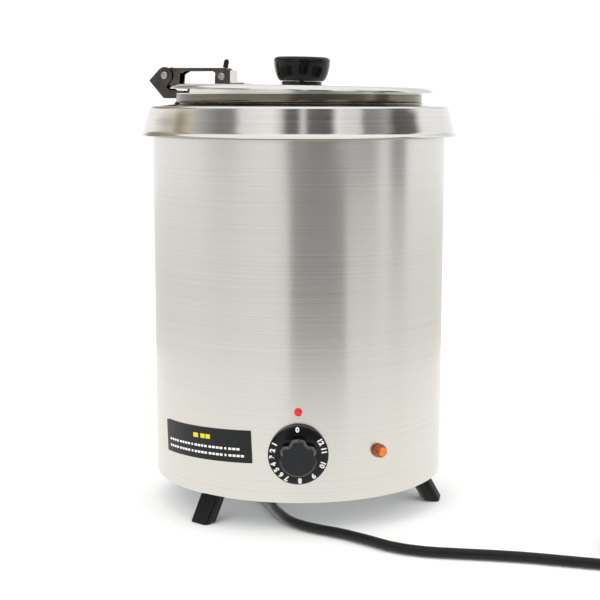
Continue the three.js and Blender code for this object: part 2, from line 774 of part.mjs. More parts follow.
function buildLid() {
  const edge = lidRadius - lidShoulder;
  const top = arc(0, 0, 1, 90, 0, 4).map(([x, y]) => [edge + lidShoulder * x, lidHeight * y]);
  const underTop = lidHeight - sheet;
  const under = arc(0, 0, 1, 90, 0, 4)
    .map(([x, y]) => [edge + (lidShoulder - sheet) * x, underTop * y]);
  const lidPlate = revolve([[0, lidHeight], ...top, ...under.reverse(), [0, underTop]]);
  const rivetPlaces = [-1, 1].map((side) =>
    [lidPivot.out - rivetBack, side * (bracketWidth / 2 - rivetEdge)]);
  const rivetHoles = rivetPlaces.map(([x, y]) =>
    rod(rivetRadius + holeClearance, -5, 10, 12).translate(x, y, 0));
  const screwHole = rod(knobScrewRadius + holeClearance, -5, 10, 12);
  place('lid_shell', polishedSteel, cut(lidPlate, screwHole, ...rivetHoles), lidGroup);

  place('lid_spigot', polishedSteel, revolve([
    [spigotRadius - sheet, -spigotDepth],
    [spigotRadius, -spigotDepth],
    [spigotRadius, 0],
    [spigotRadius + spigotFlange, 0],
    [spigotRadius + spigotFlange, sheet],
    [spigotRadius, sheet],
    [spigotRadius, underTop - gap],
    [spigotRadius - sheet, underTop - gap],
  ]), lidGroup);

  const baseFoot = lidHeight + gap;
  const baseTop = baseFoot + knobBaseHeight;
  const bore = knobScrewRadius + holeClearance;
  place('knob_base', blackPlastic, revolve([
    [bore, baseFoot], [knobBaseRadius, baseFoot], [knobBaseRadius, baseTop - 0.8],
    [knobBaseRadius - 0.8, baseTop], [bore, baseTop],
  ], 32), lidGroup);
  const knobFoot = baseTop + gap;
  const knobTop = knobFoot + knobHeight;
  const bowl = revolve([
    [0, knobFoot],
    [knobFootRadius, knobFoot],
    [knobFootRadius + 2.4, knobFoot + 2.9],
    [knobRadius - 1.6, knobFoot + 8],
    [knobRadius - 0.3, knobTop - 5.2],
    [knobRadius, knobTop - 4.4],
    ...arc(knobRadius - 4, knobTop - 4, 4, 0, 78, 4),
    [0, knobTop],
  ], 48);
  place('lid_knob', blackPlastic, cut(bowl, rod(bore, 0, knobFoot + knobScrewDepth + gap)), lidGroup);
  place('knob_screw', platedSteel, join(
    rod(knobScrewRadius, underTop - gap - 1, knobFoot + knobScrewDepth, 12),
    rod(2 * knobScrewRadius, underTop - gap - 2.5, underTop - gap, 16),
  ), lidGroup);

  rivetPlaces.forEach(([x, y], i) => {
    const head = lidHeight + gap + bracketSheet + gap;
    const tail = underTop - gap;
    const rivet = revolve([
      [0, tail - 1], [rivetHead * 0.8, tail - 1], [rivetHead * 0.8, tail], [rivetRadius, tail],
      [rivetRadius, head], [rivetHead, head], [rivetHead * 0.6, head + rivetHeadHeight * 0.8],
      [0, head + rivetHeadHeight],
    ], 12);
    place(`lid_rivet_${i + 1}`, polishedSteel, rivet.translate(x, y, 0), lidGroup);
  });

  const { out, up } = lidPivot;
  const foot = lidHeight + gap;
  const side = [
    [out + lidEye, foot],
    [out + lidEye, up],
    ...arc(out, up, lidEye, 0, 120, 6).slice(1),
    [out - lidEye - bracketSheet, up + 6],
    [out - lidEye - bracketSheet, foot],
  ];
  const hollow = across([
    [out + 20, foot - 1],
    [out + 20, up + 20],
    [out - lidEye, up + 20],
    [out - lidEye, foot - 1],
  ], bracketWidth - 2 * bracketSheet);
  const flange = block(out - rivetBack, 0, foot + bracketSheet / 2, rivetBack + 1, bracketWidth, bracketSheet);
  const bracket = cut(join(across(side, bracketWidth), flange), hollow,
    crossRod(pinBore, 2 * bracketWidth, out, up),
    ...rivetPlaces.map(([x, y]) => rod(rivetRadius + holeClearance, 0, 10, 12).translate(x, y, 0)));
  place('lid_bracket', polishedSteel, bracket, lidGroup);
  place('lid_pin', polishedSteel, pin(bracketWidth, pinHead, out, up), lidGroup);
}

function buildCord() {
  const [x, y] = glandPlace;
  const blockTop = undersideHeight - gap;
  const [wide, deep, high] = glandBlock;
  const start = new THREE.Vector3(x, y - deep / 2 + 2, noseEnd[2] + 4);
  const end = new THREE.Vector3(...noseEnd);
  const aim = new THREE.Quaternion().setFromUnitVectors(
    new THREE.Vector3(0, 0, 1), end.clone().sub(start).normalize());
  const reach = start.distanceTo(end);
  const nose = revolve([[0, 0], [noseFoot, 0], [noseTip, reach], [0, reach]], 16)
    .applyQuaternion(aim).translate(start.x, start.y, start.z);
  place('cord_gland', blackRubber, join(
    block(x, y, blockTop - high / 2, wide, deep, high),
    rod(glandStem, blockTop - 2, glandStemTop).translate(x, y, 0),
    nose,
  ), kettle);
  place('gland_nut', platedSteel,
    hexNut(glandNutWidth, glandStem + holeClearance, plateTop + gap, plateTop + gap + glandNutHeight)
      .translate(x, y, 0), kettle);

  const away = end.clone().sub(start).normalize().multiplyScalar(gap).add(end);
  const topTurn = cordRadius * (2 * coilTurns + 1) - 3;
  const roundCoil = ([direction, clearance, down], from) => {
    const turn = THREE.MathUtils.degToRad(direction);
    const reach = coilRadius + 2 * cordRadius + clearance;
    return [
      coilCentre[0] + reach * Math.cos(turn),
      coilCentre[1] + reach * Math.sin(turn),
      THREE.MathUtils.lerp(from, plugRadius, down),
    ];
  };
  const run = [away.toArray(), ...floorRun, roundCoil(coilEntry, cordRadius)];
  place('power_cord', blackRubber, tube(run, cordRadius, 8, 36), kettle);

  const coilHeight = 2 * cordRadius * (coilTurns + 1);
  const coil = revolve([
    [coilRadius - cordRadius, 0], [coilRadius + cordRadius, 0],
    [coilRadius + cordRadius, coilHeight], [coilRadius - cordRadius, coilHeight],
  ], 40);
  place('cord_coil', blackRubber, coil.translate(...coilCentre, 0), kettle);

  const tieReach = cordRadius + gap;
  const tie = cut(
    block(0, 0, (coilHeight + gap + tieThickness) / 2,
      tieWidth, 2 * (tieReach + tieThickness), coilHeight + gap + tieThickness),
    block(0, 0, (coilHeight + gap) / 2 - 1, tieWidth + 2, 2 * tieReach + 1.4, coilHeight + gap + 2),
  );
  place('cord_tie', blackRubber,
    tie.translate(coilCentre[0], coilCentre[1] + coilRadius, 0), kettle);

  const plug = new THREE.Group();
  plug.rotation.x = -Math.PI / 2;
  plug.position.set(plugStart[0], plugStart[1], plugRadius);
  kettle.add(plug);
  const bodyEnd = plugBootLength + plugLength;
  place('plug_body', blackRubber, revolve([
    [0, 0], [noseTip, 0], [noseFoot, plugBootLength], [plugRadius - 3, plugBootLength + 2],
    [plugRadius, plugBootLength + 7], [plugRadius, bodyEnd], [0, bodyEnd],
  ], 24), plug);
  [-1, 1].forEach((side, i) => {
    const blade = rod(plugPinRadius, bodyEnd + gap, bodyEnd + plugPinLength, 12);
    place(`plug_pin_${i + 1}`, platedSteel, blade.translate((side * plugPinSpacing) / 2, 0, 0), plug);
  });
  const tailEnd = [plugStart[0], plugStart[1] - 2 * gap, plugRadius];
  place('cord_tail', blackRubber,
    tube([...tailRun.map((point) => roundCoil(point, topTurn)), tailEnd], cordRadius, 8, 8), kettle);
}

buildCasing();
buildWaterPan();
buildThermostat();
buildDial();
buildWallPieces();
buildFeet();
buildTopRing();
buildNeckBracket();
buildArm();
buildLid();
buildCord();

export default kettle;
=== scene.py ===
import math

import bpy
from mathutils import Matrix, Vector


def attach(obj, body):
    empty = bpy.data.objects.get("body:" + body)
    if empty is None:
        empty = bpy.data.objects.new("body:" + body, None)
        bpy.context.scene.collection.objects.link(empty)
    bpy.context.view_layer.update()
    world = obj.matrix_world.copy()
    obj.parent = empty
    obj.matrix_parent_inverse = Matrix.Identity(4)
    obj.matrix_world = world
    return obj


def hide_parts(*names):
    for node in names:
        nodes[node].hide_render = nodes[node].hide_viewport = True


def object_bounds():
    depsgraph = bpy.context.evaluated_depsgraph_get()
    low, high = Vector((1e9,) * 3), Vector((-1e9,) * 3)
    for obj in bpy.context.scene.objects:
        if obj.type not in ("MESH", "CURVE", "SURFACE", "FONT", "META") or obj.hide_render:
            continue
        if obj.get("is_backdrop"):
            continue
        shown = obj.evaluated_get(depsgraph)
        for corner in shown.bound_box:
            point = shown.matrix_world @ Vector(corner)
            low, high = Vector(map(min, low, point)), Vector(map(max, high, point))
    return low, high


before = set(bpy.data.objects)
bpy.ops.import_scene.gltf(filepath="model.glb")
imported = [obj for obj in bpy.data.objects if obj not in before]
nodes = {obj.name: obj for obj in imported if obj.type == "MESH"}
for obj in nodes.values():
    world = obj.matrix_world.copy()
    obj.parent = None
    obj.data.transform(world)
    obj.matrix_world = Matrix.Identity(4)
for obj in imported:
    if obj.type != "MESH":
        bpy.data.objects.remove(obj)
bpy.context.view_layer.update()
mm = 0.001
axisSetback = 3.5  # the casing's axis, behind the origin
casingRadius = 135
sheet = 1.2  # every steel pressing


# Small tools

def moved(x, y, z):
    return Matrix.Translation((x * mm, y * mm, z * mm))


def rotated(degrees, axis):
    return Matrix.Rotation(math.radians(degrees), 4, axis)


onAxis = moved(0, axisSetback, 0)


def clearSelection():
    bpy.ops.object.select_all(action="DESELECT")


def pick(piece):
    clearSelection()
    piece.hide_set(False)
    piece.select_set(True)
    bpy.context.view_layer.objects.active = piece


def settle(piece, matrix):
    # moves a piece made round the origin to its place, and puts the place in its mesh
    piece.matrix_world = matrix
    pick(piece)
    bpy.ops.object.transform_apply(location=True, rotation=True, scale=True)
    return piece


def smoothOver(piece, angle=30):
    pick(piece)
    bpy.ops.object.shade_smooth_by_angle(angle=math.radians(angle))
    return piece


def addModifier(piece, kind, **settings):
    # adds a modifier and applies it
    pick(piece)
    modifier = piece.modifiers.new(kind.title(), kind)
    for name, value in settings.items():
        setattr(modifier, name, value)
    bpy.ops.object.modifier_apply(modifier=modifier.name)


def pickFaces(piece, wanted):
    # selects the faces whose centre and normal pass a test, and leaves the piece in edit mode
    pick(piece)
    bpy.ops.object.mode_set(mode="EDIT")
    bpy.ops.mesh.select_mode(type="FACE")
    bpy.ops.mesh.select_all(action="DESELECT")
    bpy.ops.object.mode_set(mode="OBJECT")
    for face in piece.data.polygons:
        face.select = bool(wanted(face.center / mm, face.normal))
    bpy.ops.object.mode_set(mode="EDIT")


def useMaterial(piece, index, wanted):
    pickFaces(piece, wanted)
    piece.active_material_index = index
    bpy.ops.object.material_slot_assign()
    bpy.ops.object.mode_set(mode="OBJECT")


def joined(first, *others):
    clearSelection()
    for other in others:
        other.select_set(True)
    first.select_set(True)
    bpy.context.view_layer.objects.active = first
    bpy.ops.object.join()
    return first


def startPoint(name, x, y, z):
    # a piece of one vertex, left in edit mode for the vertex to be extruded
    clearSelection()
    bpy.ops.mesh.primitive_plane_add(size=mm, location=(0, 0, 0))
    piece = bpy.context.object
    piece.name = name
    bpy.ops.object.mode_set(mode="EDIT")
    bpy.ops.mesh.select_mode(type="VERT")
    bpy.ops.mesh.select_all(action="SELECT")
    bpy.ops.mesh.merge(type="CENTER")
    bpy.ops.transform.translate(value=(x * mm, y * mm, z * mm))
    return piece


def draw(step):
    bpy.ops.mesh.extrude_vertices_move(TRANSFORM_OT_translate={"value": [length * mm for length in step]})


def spinAround(piece, steps, angle):
    # spins the drawn chain round Z, closes it and turns its faces outward
    bpy.ops.mesh.select_all(action="SELECT")
    bpy.ops.mesh.spin(steps=steps, angle=angle, center=(0, 0, 0), axis=(0, 0, 1))
    bpy.ops.mesh.select_all(action="SELECT")
    bpy.ops.mesh.remove_doubles(threshold=1e-6)
    bpy.ops.mesh.normals_make_consistent(inside=False)
    bpy.ops.object.mode_set(mode="OBJECT")


def turned(name, profile, steps=128, angle=30):
    # a chain of points (radius, height) is drawn by extruding a vertex, then spun round Z
    piece = startPoint(name, profile[0][0], 0, profile[0][1])
    for (r0, z0), (r1, z1) in zip(profile, profile[1:]):
        draw((r1 - r0, 0, z1 - z0))
    spinAround(piece, steps, math.tau)
    return smoothOver(piece, angle)


def arc(r, z, radius, start, end, count=8):
    steps = [math.radians(start + (end - start) * i / count) for i in range(count + 1)]
    return [(r + radius * math.cos(a), z + radius * math.sin(a)) for a in steps]


def beside(path, wall):
    # the path moved to its left by the thickness of the sheet
    normals = []
    for (r0, z0), (r1, z1) in zip(path, path[1:]):
        length = math.hypot(r1 - r0, z1 - z0)
        normals.append(((z0 - z1) / length, (r1 - r0) / length))
    shifted = []
    for i, (r, z) in enumerate(path):
        a = normals[max(i - 1, 0)]
        b = normals[min(i, len(normals) - 1)]
        share = 1 + a[0] * b[0] + a[1] * b[1]
        shifted.append((max(r + wall * (a[0] + b[0]) / share, 0), z + wall * (a[1] + b[1]) / share))
    return shifted


def pressed(name, path, steps):
    # a sheet-steel pressing: the path is its outside
    inner = beside(path, sheet)[::-1]
    profile = [*path, *inner]
    if path[0][0] > 0:
        profile.append(path[0])
    return turned(name, profile, steps)


def wallFrame(azimuth, height):
    # X along the wall, Y up, Z out of the wall
    turn = math.radians(azimuth)
    out = Vector((math.sin(turn), -math.cos(turn), 0))
    side = Vector((math.cos(turn), math.sin(turn), 0))
    up = Vector((0, 0, 1))
    basis = Matrix((side, up, out)).transposed().to_4x4()
    return onAxis @ Matrix.Translation(out * casingRadius * mm + up * height * mm) @ basis


def finish(piece, body, material, slot, *replaced):
    # a finished piece rides on its body and stands for its CAD nodes
    if material is not None:
        piece.data.materials.clear()
        piece.data.materials.append(material)
    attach(piece, body)
    if replaced:
        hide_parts(*replaced)
    return piece


# Camera

view = {
    "x": 1.3,
    "back": 1265.5,
    "height": 370.5,
    "lookDown": 8.23,
    "roll": 0.1,
    "lens": 81.1,
}
cameraData = bpy.data.cameras.new("stillCamera")
cameraData.lens = view["lens"]
cameraData.sensor_width = 36
cameraData.clip_start = 0.05
cameraData.clip_end = 100
camera = bpy.data.objects.new("stillCamera", cameraData)
bpy.context.scene.collection.objects.link(camera)
aim = rotated(90 - view["lookDown"], "X") @ rotated(view["roll"], "Z")
camera.matrix_world = moved(view["x"], -view["back"], view["height"]) @ aim
bpy.context.scene.camera = camera
bpy.context.scene.view_settings.view_transform = "Standard"
print("camera placed")


# Materials

def colour(hexCode):
    # an sRGB hex value as linear light
    parts = [int(hexCode[i:i + 2], 16) / 255 for i in (1, 3, 5)]
    linear = [p / 12.92 if p <= 0.04045 else ((p + 0.055) / 1.055) ** 2.4 for p in parts]
    return (*linear, 1)


def addNode(tree, kind, settings=None, inputs=None, stops=None):
    # settings are the node's own, inputs are numbers or the sockets they come from
    node = tree.nodes.new(kind)
    for name, value in (settings or {}).items():
        setattr(node, name, value)
    for name, value in (inputs or {}).items():
        if isinstance(value, bpy.types.NodeSocket):
            tree.links.new(value, node.inputs[name])
        else:
            node.inputs[name].default_value = value
    if stops:
        ramp = node.color_ramp.elements
        ramp[0].position, ramp[0].color = stops[0][0], colour(stops[0][1])
        ramp[1].position, ramp[1].color = stops[-1][0], colour(stops[-1][1])
        for place, shade in stops[1:-1]:
            ramp.new(place).color = colour(shade)
    return node


def newMaterial(name, base, rough, metal=0, **extra):
    # a shader with the values that are the same all over; the pattern nodes are added by each finish
    material = bpy.data.materials.new(name)
    material.use_nodes = True
    tree = material.node_tree
    tree.nodes.clear()
    shader = addNode(tree, "ShaderNodeBsdfPrincipled", inputs={
        "Base Color": colour(base), "Roughness": rough, "Metallic": metal,
        **extra})
    output = addNode(tree, "ShaderNodeOutputMaterial")
    tree.links.new(shader.outputs["BSDF"], output.inputs["Surface"])
    material.diffuse_color = colour(base)
    return material, tree, shader


def stretchedNoise(tree, stretch, detail=4, roughness=0.55):
    # noise drawn out along the directions with a small scale; stretch is cycles per metre in X, Y and Z
    place = addNode(tree, "ShaderNodeTexCoord")
    mapped = addNode(tree, "ShaderNodeMapping", inputs={"Vector": place.outputs["Object"], "Scale": stretch})
    return addNode(tree, "ShaderNodeTexNoise", inputs={
        "Vector": mapped.outputs["Vector"], "Scale": 1, "Detail": detail, "Roughness": roughness})


def varied(tree, shader, noise, shades, roughs, bump=0, depth=0.00005):
    # the noise moves the colour and the roughness a little, and raises the surface
    tint = addNode(tree, "ShaderNodeValToRGB", inputs={"Fac": noise.outputs["Fac"]},
                   stops=[(0.3, shades[0]), (0.7, shades[1])])
    tree.links.new(tint.outputs["Color"], shader.inputs["Base Color"])
    level = addNode(tree, "ShaderNodeMapRange", inputs={
        "Value": noise.outputs["Fac"], "From Min": 0.3, "From Max": 0.7,
        "To Min": roughs[0], "To Max": roughs[1]})
    tree.links.new(level.outputs["Result"], shader.inputs["Roughness"])
    if bump:
        raised = addNode(tree, "ShaderNodeBump", inputs={
            "Strength": bump, "Distance": depth, "Height": noise.outputs["Fac"]})
        tree.links.new(raised.outputs["Normal"], shader.inputs["Normal"])


def steelFinish(name, shades, roughs, stretch, bump, depth, anisotropic=0.0):
    material, tree, shader = newMaterial(name, shades[1], roughs[0], 1)
    noise = stretchedNoise(tree, stretch)
    varied(tree, shader, noise, shades, roughs, bump, depth)
    if anisotropic:
        # the grain runs round the piece, so its gloss is drawn out upward
        shader.inputs["Anisotropic"].default_value = anisotropic
        shader.inputs["Anisotropic Rotation"].default_value = 0.25
        grain = addNode(tree, "ShaderNodeTangent", {"direction_type": "RADIAL", "axis": "Z"})
        tree.links.new(grain.outputs["Tangent"], shader.inputs["Tangent"])
    return material


# satin stainless sheet, finely brushed round the casing: faint streaks 1.1 mm high and soft tall reflections
brushedCasingSteel = steelFinish("brushedCasingSteel", ("#dcdad5", "#e3e1dd"), (0.22, 0.25),
                                 (2, 2, 900), 0.03, 0.00002, 0.6)
# stainless ring, spun and buffed: almost a mirror, with faint rings of the buffing wheel
buffedRingSteel = steelFinish("buffedRingSteel", ("#dedbd6", "#e8e6e2"), (0.10, 0.15),
                              (6, 6, 420), 0.05, 0.00003, 0.3)
# mirror-polished stainless of the lid and the hinge's straps, with a slight haze of handling
mirrorLidSteel = steelFinish("mirrorLidSteel", ("#dad8d4", "#e6e4e0"), (0.08, 0.14),
                             (60, 60, 60), 0.02, 0.00003)
# the ring's neck: duller steel given a dark, warm colour that paints the shade under the lid and the dark
# room it reflects
dullNeckSteel = steelFinish("dullNeckSteel", ("#6c675b", "#7d786c"), (0.12, 0.18),
                            (14, 14, 300), 0.05, 0.00003)
# hinge pressings: a mirror given a dark colour with 15 mm brown clouds, painted dark reflection of the room
nickelHingeSteel = steelFinish("nickelHingeSteel", ("#3b3c40", "#6a5c50"), (0.08, 0.14),
                               (66, 66, 66), 0.02, 0.00003)
# deep-drawn stainless of the pot and the water pan, left satin by the press
drawnPotSteel = steelFinish("drawnPotSteel", ("#c9c8c4", "#dbd9d5"), (0.20, 0.30),
                            (12, 12, 260), 0.10, 0.00005, 0.3)
# bright zinc plate on mild steel: bluish and slightly cloudy, 3 mm blotches
zincPlate = steelFinish("zincPlate", ("#a9adb1", "#c4c7c9"), (0.28, 0.42), (330, 330, 330), 0.10, 0.00005)
# turned brass, dull yellow with tool marks
turnedBrass = steelFinish("turnedBrass", ("#a88a4c", "#c6a767"), (0.25, 0.38), (500, 500, 500), 0.10, 0.00004)


def plasticFinish(name, shades, roughs, stretch, bump, depth, coat=0.0):
    material, tree, shader = newMaterial(name, shades[1], roughs[0], 0,
                                         **{"IOR": 1.5, "Specular IOR Level": 0.3})
    noise = stretchedNoise(tree, stretch)
    varied(tree, shader, noise, shades, roughs, bump, depth)
    if coat:
        shader.inputs["Coat Weight"].default_value = coat
        shader.inputs["Coat Roughness"].default_value = 0.05
    return material


# compression-moulded black phenolic of the knob and the dial: deep gloss over a faint ripple
glossPhenolic = plasticFinish("glossPhenolic", ("#070708", "#0e0f10"), (0.06, 0.14),
                              (70, 70, 70), 0.05, 0.0001)
# painted highlight: a grey black for the grip's upper edges and the skirt's chamfer, where the light catches
# them, in blotches
rubbedPhenolic = plasticFinish("rubbedPhenolic", ("#26272a", "#5e5f64"), (0.14, 0.26),
                               (210, 210, 210), 0.05, 0.0001)
# the grip's front face, moulded matt so that fingerprints don't show: 0.3 mm grain drawn 0.8 mm
mattPhenolic = plasticFinish("mattPhenolic", ("#17191b", "#202325"), (0.42, 0.56),
                             (1200, 1200, 1200), 0.20, 0.00008)
# injection-moulded black ABS of the feet, glossy with light scuffs
footAbs = plasticFinish("footAbs", ("#08090a", "#121314"), (0.12, 0.30), (240, 240, 240), 0.10, 0.00008)
# black thermoplastic rubber of the gland, the plug, the tie and the arm's stop: soft sheen and fine pores
blackRubber = plasticFinish("blackRubber", ("#131416", "#1d1e21"), (0.45, 0.62),
                            (900, 900, 900), 0.25, 0.0001)
# extruded black PVC of the mains lead: smooth, with a long faint waviness and dull scuffs
leadPvc = plasticFinish("leadPvc", ("#0b0b0c", "#151618"), (0.26, 0.44), (160, 160, 160), 0.12, 0.0001)
# glazed and bisque ceramic of the terminal block and the cut-out
terminalCeramic = plasticFinish("terminalCeramic", ("#cfcabd", "#e2ddd2"), (0.35, 0.6),
                                (300, 300, 300), 0.10, 0.0001)
# needled mineral felt round the water pan: matt, loose 1.5 mm tufts
needledFelt = plasticFinish("needledFelt", ("#8f8a7e", "#c4beb0"), (0.9, 1.0), (650, 650, 650), 0.8, 0.0006)
# white pad-printing ink on the dial and the label: flat, slightly uneven cover
printingInk = plasticFinish("printingInk", ("#e4e4e2", "#f7f7f5"), (0.35, 0.5),
                            (900, 900, 900), 0.05, 0.00002)
# yellow printing ink on the label
yellowInk = plasticFinish("yellowInk", ("#d9c21e", "#ecd82e"), (0.35, 0.5), (900, 900, 900), 0.05, 0.00002)
# black printed polyester film of the label: even and slightly glossy
labelFilm = plasticFinish("labelFilm", ("#121315", "#1b1c1f"), (0.28, 0.38), (350, 350, 350), 0.04, 0.00003)


def lensFinish(name, shades, deep, rough, through):
    # moulded clear coloured plastic that glows faintly in the given colour; on the lamp this is its own
    # light, on the index dot it is a painted glow
    material, tree, shader = newMaterial(name, shades[1], rough, 0, IOR=1.55)
    noise = stretchedNoise(tree, (400, 400, 400), 2)
    tint = addNode(tree, "ShaderNodeValToRGB", inputs={"Fac": noise.outputs["Fac"]},
                   stops=[(0.35, shades[0]), (0.65, shades[1])])
    tree.links.new(tint.outputs["Color"], shader.inputs["Base Color"])
    shader.inputs["Transmission Weight"].default_value = through
    shader.inputs["Emission Color"].default_value = colour(deep)
    shader.inputs["Emission Strength"].default_value = 0.12
    return material


# amber polycarbonate of the pilot lamp, facetted and wet-looking
amberPolycarbonate = lensFinish("amberPolycarbonate", ("#d96a10", "#f08a1c"), "#c85a08", 0.08, 0.15)
# painted shade: a deeper, browner amber for the lamp's sloping sides and foot
deepAmber = lensFinish("deepAmber", ("#7a3208", "#a04a10"), "#7a3404", 0.10, 0.05)
# red acrylic of the index dot, a glossy dome; its faint glow is painted light, for the dot is no lamp
redAcrylic = lensFinish("redAcrylic", ("#c80f16", "#e2141c"), "#c01018", 0.10, 0.05)

slotFinish = {
    "casing_steel": brushedCasingSteel,
    "polished_steel": mirrorLidSteel,
    "plated_steel": zincPlate,
    "black_plastic": glossPhenolic,
    "black_rubber": blackRubber,
    "insulation_felt": needledFelt,
    "red_plastic": redAcrylic,
    "amber_plastic": amberPolycarbonate,
    "label_film": labelFilm,
    "ceramic_white": terminalCeramic,
    "brass": turnedBrass,
}
print("finishes made")


# Room: pale floor, soft light, and panels that only the bright steel reflects

room = {
    "floorSize": 240.0,
    "wallRadius": 4.0,
    "wallCentre": 0.2,
    "lowPanelsEnd": 10,  # degrees above the middle of the room
    "highPanelsStart": 16,
    "ceilingStart": 38,
    "ceilingFull": 43,
    "table": 840,
    "horizon": 6000,
}
world = bpy.data.worlds.new("paleRoom")
bpy.context.scene.world = world
world.use_nodes = True
world.node_tree.nodes["Background"].inputs["Color"].default_value = colour("#ffffff")
world.node_tree.nodes["Background"].inputs["Strength"].default_value = 1.1

clearSelection()
bpy.ops.mesh.primitive_plane_add(size=room["floorSize"], location=(0, 0, 0))
floor = bpy.context.object
floor.name = "floor"
floorPaint, _, floorShader = newMaterial("floorPaint", "#f6f6f5", 0.9)
floorShader.inputs["Specular IOR Level"].default_value = 0.0
floor.data.materials.append(floorPaint)
floor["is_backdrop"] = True


def reflectedOnly(card):
    card.visible_camera = False
    card.visible_diffuse = False
    card.visible_shadow = False
    card.visible_transmission = False
    card.visible_volume_scatter = False
    card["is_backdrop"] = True


def glow(name, strength, shade="#ffffff"):
    material = bpy.data.materials.new(name)
    material.use_nodes = True
    tree = material.node_tree
    tree.nodes.clear()
    light = addNode(tree, "ShaderNodeEmission", inputs={"Color": colour(shade), "Strength": strength})
    output = addNode(tree, "ShaderNodeOutputMaterial")
    tree.links.new(light.outputs["Emission"], output.inputs["Surface"])
    material.cycles.emission_sampling = "NONE"
    return material, tree, light


# direction round the room in degrees, 0 toward the camera and 90 to its right, and the light there
lowPanels = [(-180, 1.0), (-100, 1.0), (-80, 0.95), (-70, 0.82), (-56, 0.78), (-45, 0.84),
             (-24, 0.90), (-11, 0.86), (-5, 0.33), (6, 0.30), (27, 0.30), (37, 0.40),
             (50, 0.44), (60, 0.50), (66, 0.92), (72, 0.84), (76, 0.34), (88, 0.34), (91, 1.0),
             (100, 1.0), (135, 0.98), (180, 1.0)]
highPanels = [(-180, 0.9), (-145, "#90877c"), (-119, "#b7b19d"), (-108, "#c9c3b4"), (-100, "#9b927e"),
              (-88, "#cfcabc"), (-78, 0.45), (-62, 0.24), (-50, 0.26), (-44, 0.85),
              (-35, 0.92), (-20, 1.0), (-14, 0.75), (-9, 0.15), (-1, 0.13), (3, 0.9),
              (7, 0.16), (24, 0.12), (29, 1.1), (34, 0.85), (46, 0.8), (50, 0.27),
              (60, 0.30), (68, 0.42), (76, 0.11), (95, 0.16), (99, 0.6), (103, 1.0), (125, 1.0),
              (140, 0.8), (180, 0.9)]


def greyHex(value):
    # a linear light level as a hex shade; a hex shade stays as it is
    if isinstance(value, str):
        return value
    value = min(value, 1.0)
    level = value * 12.92 if value <= 0.0031308 else 1.055 * value ** (1 / 2.4) - 0.055
    return "#" + f"{round(level * 255):02x}" * 3


def wallHeight(degrees):
    return room["wallCentre"] + room["wallRadius"] * math.sin(math.radians(degrees))


clearSelection()
bpy.ops.mesh.primitive_uv_sphere_add(segments=64, ring_count=32, radius=room["wallRadius"],
                                     location=(0, 0, room["wallCentre"]))
walls = bpy.context.object
walls.name = "roomWalls"
bpy.ops.object.transform_apply(location=True)
wallGlow, tree, wallLight = glow("wallGlow", 1.0)
spot = addNode(tree, "ShaderNodeTexCoord")
axes = addNode(tree, "ShaderNodeSeparateXYZ", inputs={"Vector": spot.outputs["Object"]})
towards = addNode(tree, "ShaderNodeMath", {"operation": "MULTIPLY"})
tree.links.new(axes.outputs["Y"], towards.inputs[0])
towards.inputs[1].default_value = -1
angle = addNode(tree, "ShaderNodeMath", {"operation": "ARCTAN2"})
tree.links.new(axes.outputs["X"], angle.inputs[0])
tree.links.new(towards.outputs["Value"], angle.inputs[1])
share = addNode(tree, "ShaderNodeMapRange", inputs={
    "Value": angle.outputs["Value"], "From Min": -math.pi, "From Max": math.pi})
low = addNode(tree, "ShaderNodeValToRGB", inputs={"Fac": share.outputs["Result"]},
              stops=[(d / 360 + 0.5, greyHex(v)) for d, v in lowPanels])
high = addNode(tree, "ShaderNodeValToRGB", inputs={"Fac": share.outputs["Result"]},
               stops=[(d / 360 + 0.5, greyHex(v)) for d, v in highPanels])
lift = addNode(tree, "ShaderNodeMapRange", inputs={
    "Value": axes.outputs["Z"], "From Min": wallHeight(room["lowPanelsEnd"]),
    "From Max": wallHeight(room["highPanelsStart"])})
mixed = addNode(tree, "ShaderNodeMix", {"data_type": "RGBA"})  # a colour mix has inputs 6 and 7, output 2
tree.links.new(lift.outputs["Result"], mixed.inputs["Factor"])
tree.links.new(low.outputs["Color"], mixed.inputs[6])
tree.links.new(high.outputs["Color"], mixed.inputs[7])
overhead = addNode(tree, "ShaderNodeMapRange", inputs={
    "Value": axes.outputs["Z"], "From Min": wallHeight(room["ceilingStart"]),
    "From Max": wallHeight(room["ceilingFull"])})
topped = addNode(tree, "ShaderNodeMix", {"data_type": "RGBA"})
tree.links.new(overhead.outputs["Result"], topped.inputs["Factor"])
tree.links.new(mixed.outputs[2], topped.inputs[6])
topped.inputs[7].default_value = (1.1, 1.1, 1.08, 1)
tree.links.new(topped.outputs[2], wallLight.inputs["Color"])
walls.data.materials.append(wallGlow)
reflectedOnly(walls)

# the steel sees the pale table near it, the paler room floor farther off and one dark wedge of it
floor.visible_glossy = False


def floorSector(name, near, far, start, sweep, strength, shade, level):
    # part of a ring on the floor; start is its right-hand end in degrees from the camera's direction
    turn = math.radians(start)
    sector = startPoint(name, near * math.sin(turn), -near * math.cos(turn), level)
    draw(((far - near) * math.sin(turn), -(far - near) * math.cos(turn), 0))
    spinAround(sector, 48, math.radians(sweep))
    sector.data.materials.append(glow(name + "Glow", strength, shade)[0])
    reflectedOnly(sector)


floorSector("nearTable", 1, room["table"], 0, 360, 1.12, "#f7f6f2", 0.6)
floorSector("farFloor", room["table"], room["horizon"], 0, 360, 0.88, "#f6f5f1", 0.6)
floorSector("darkFloor", room["table"], room["horizon"], 35, 41, 0.30, "#f2f1ee", 1.2)

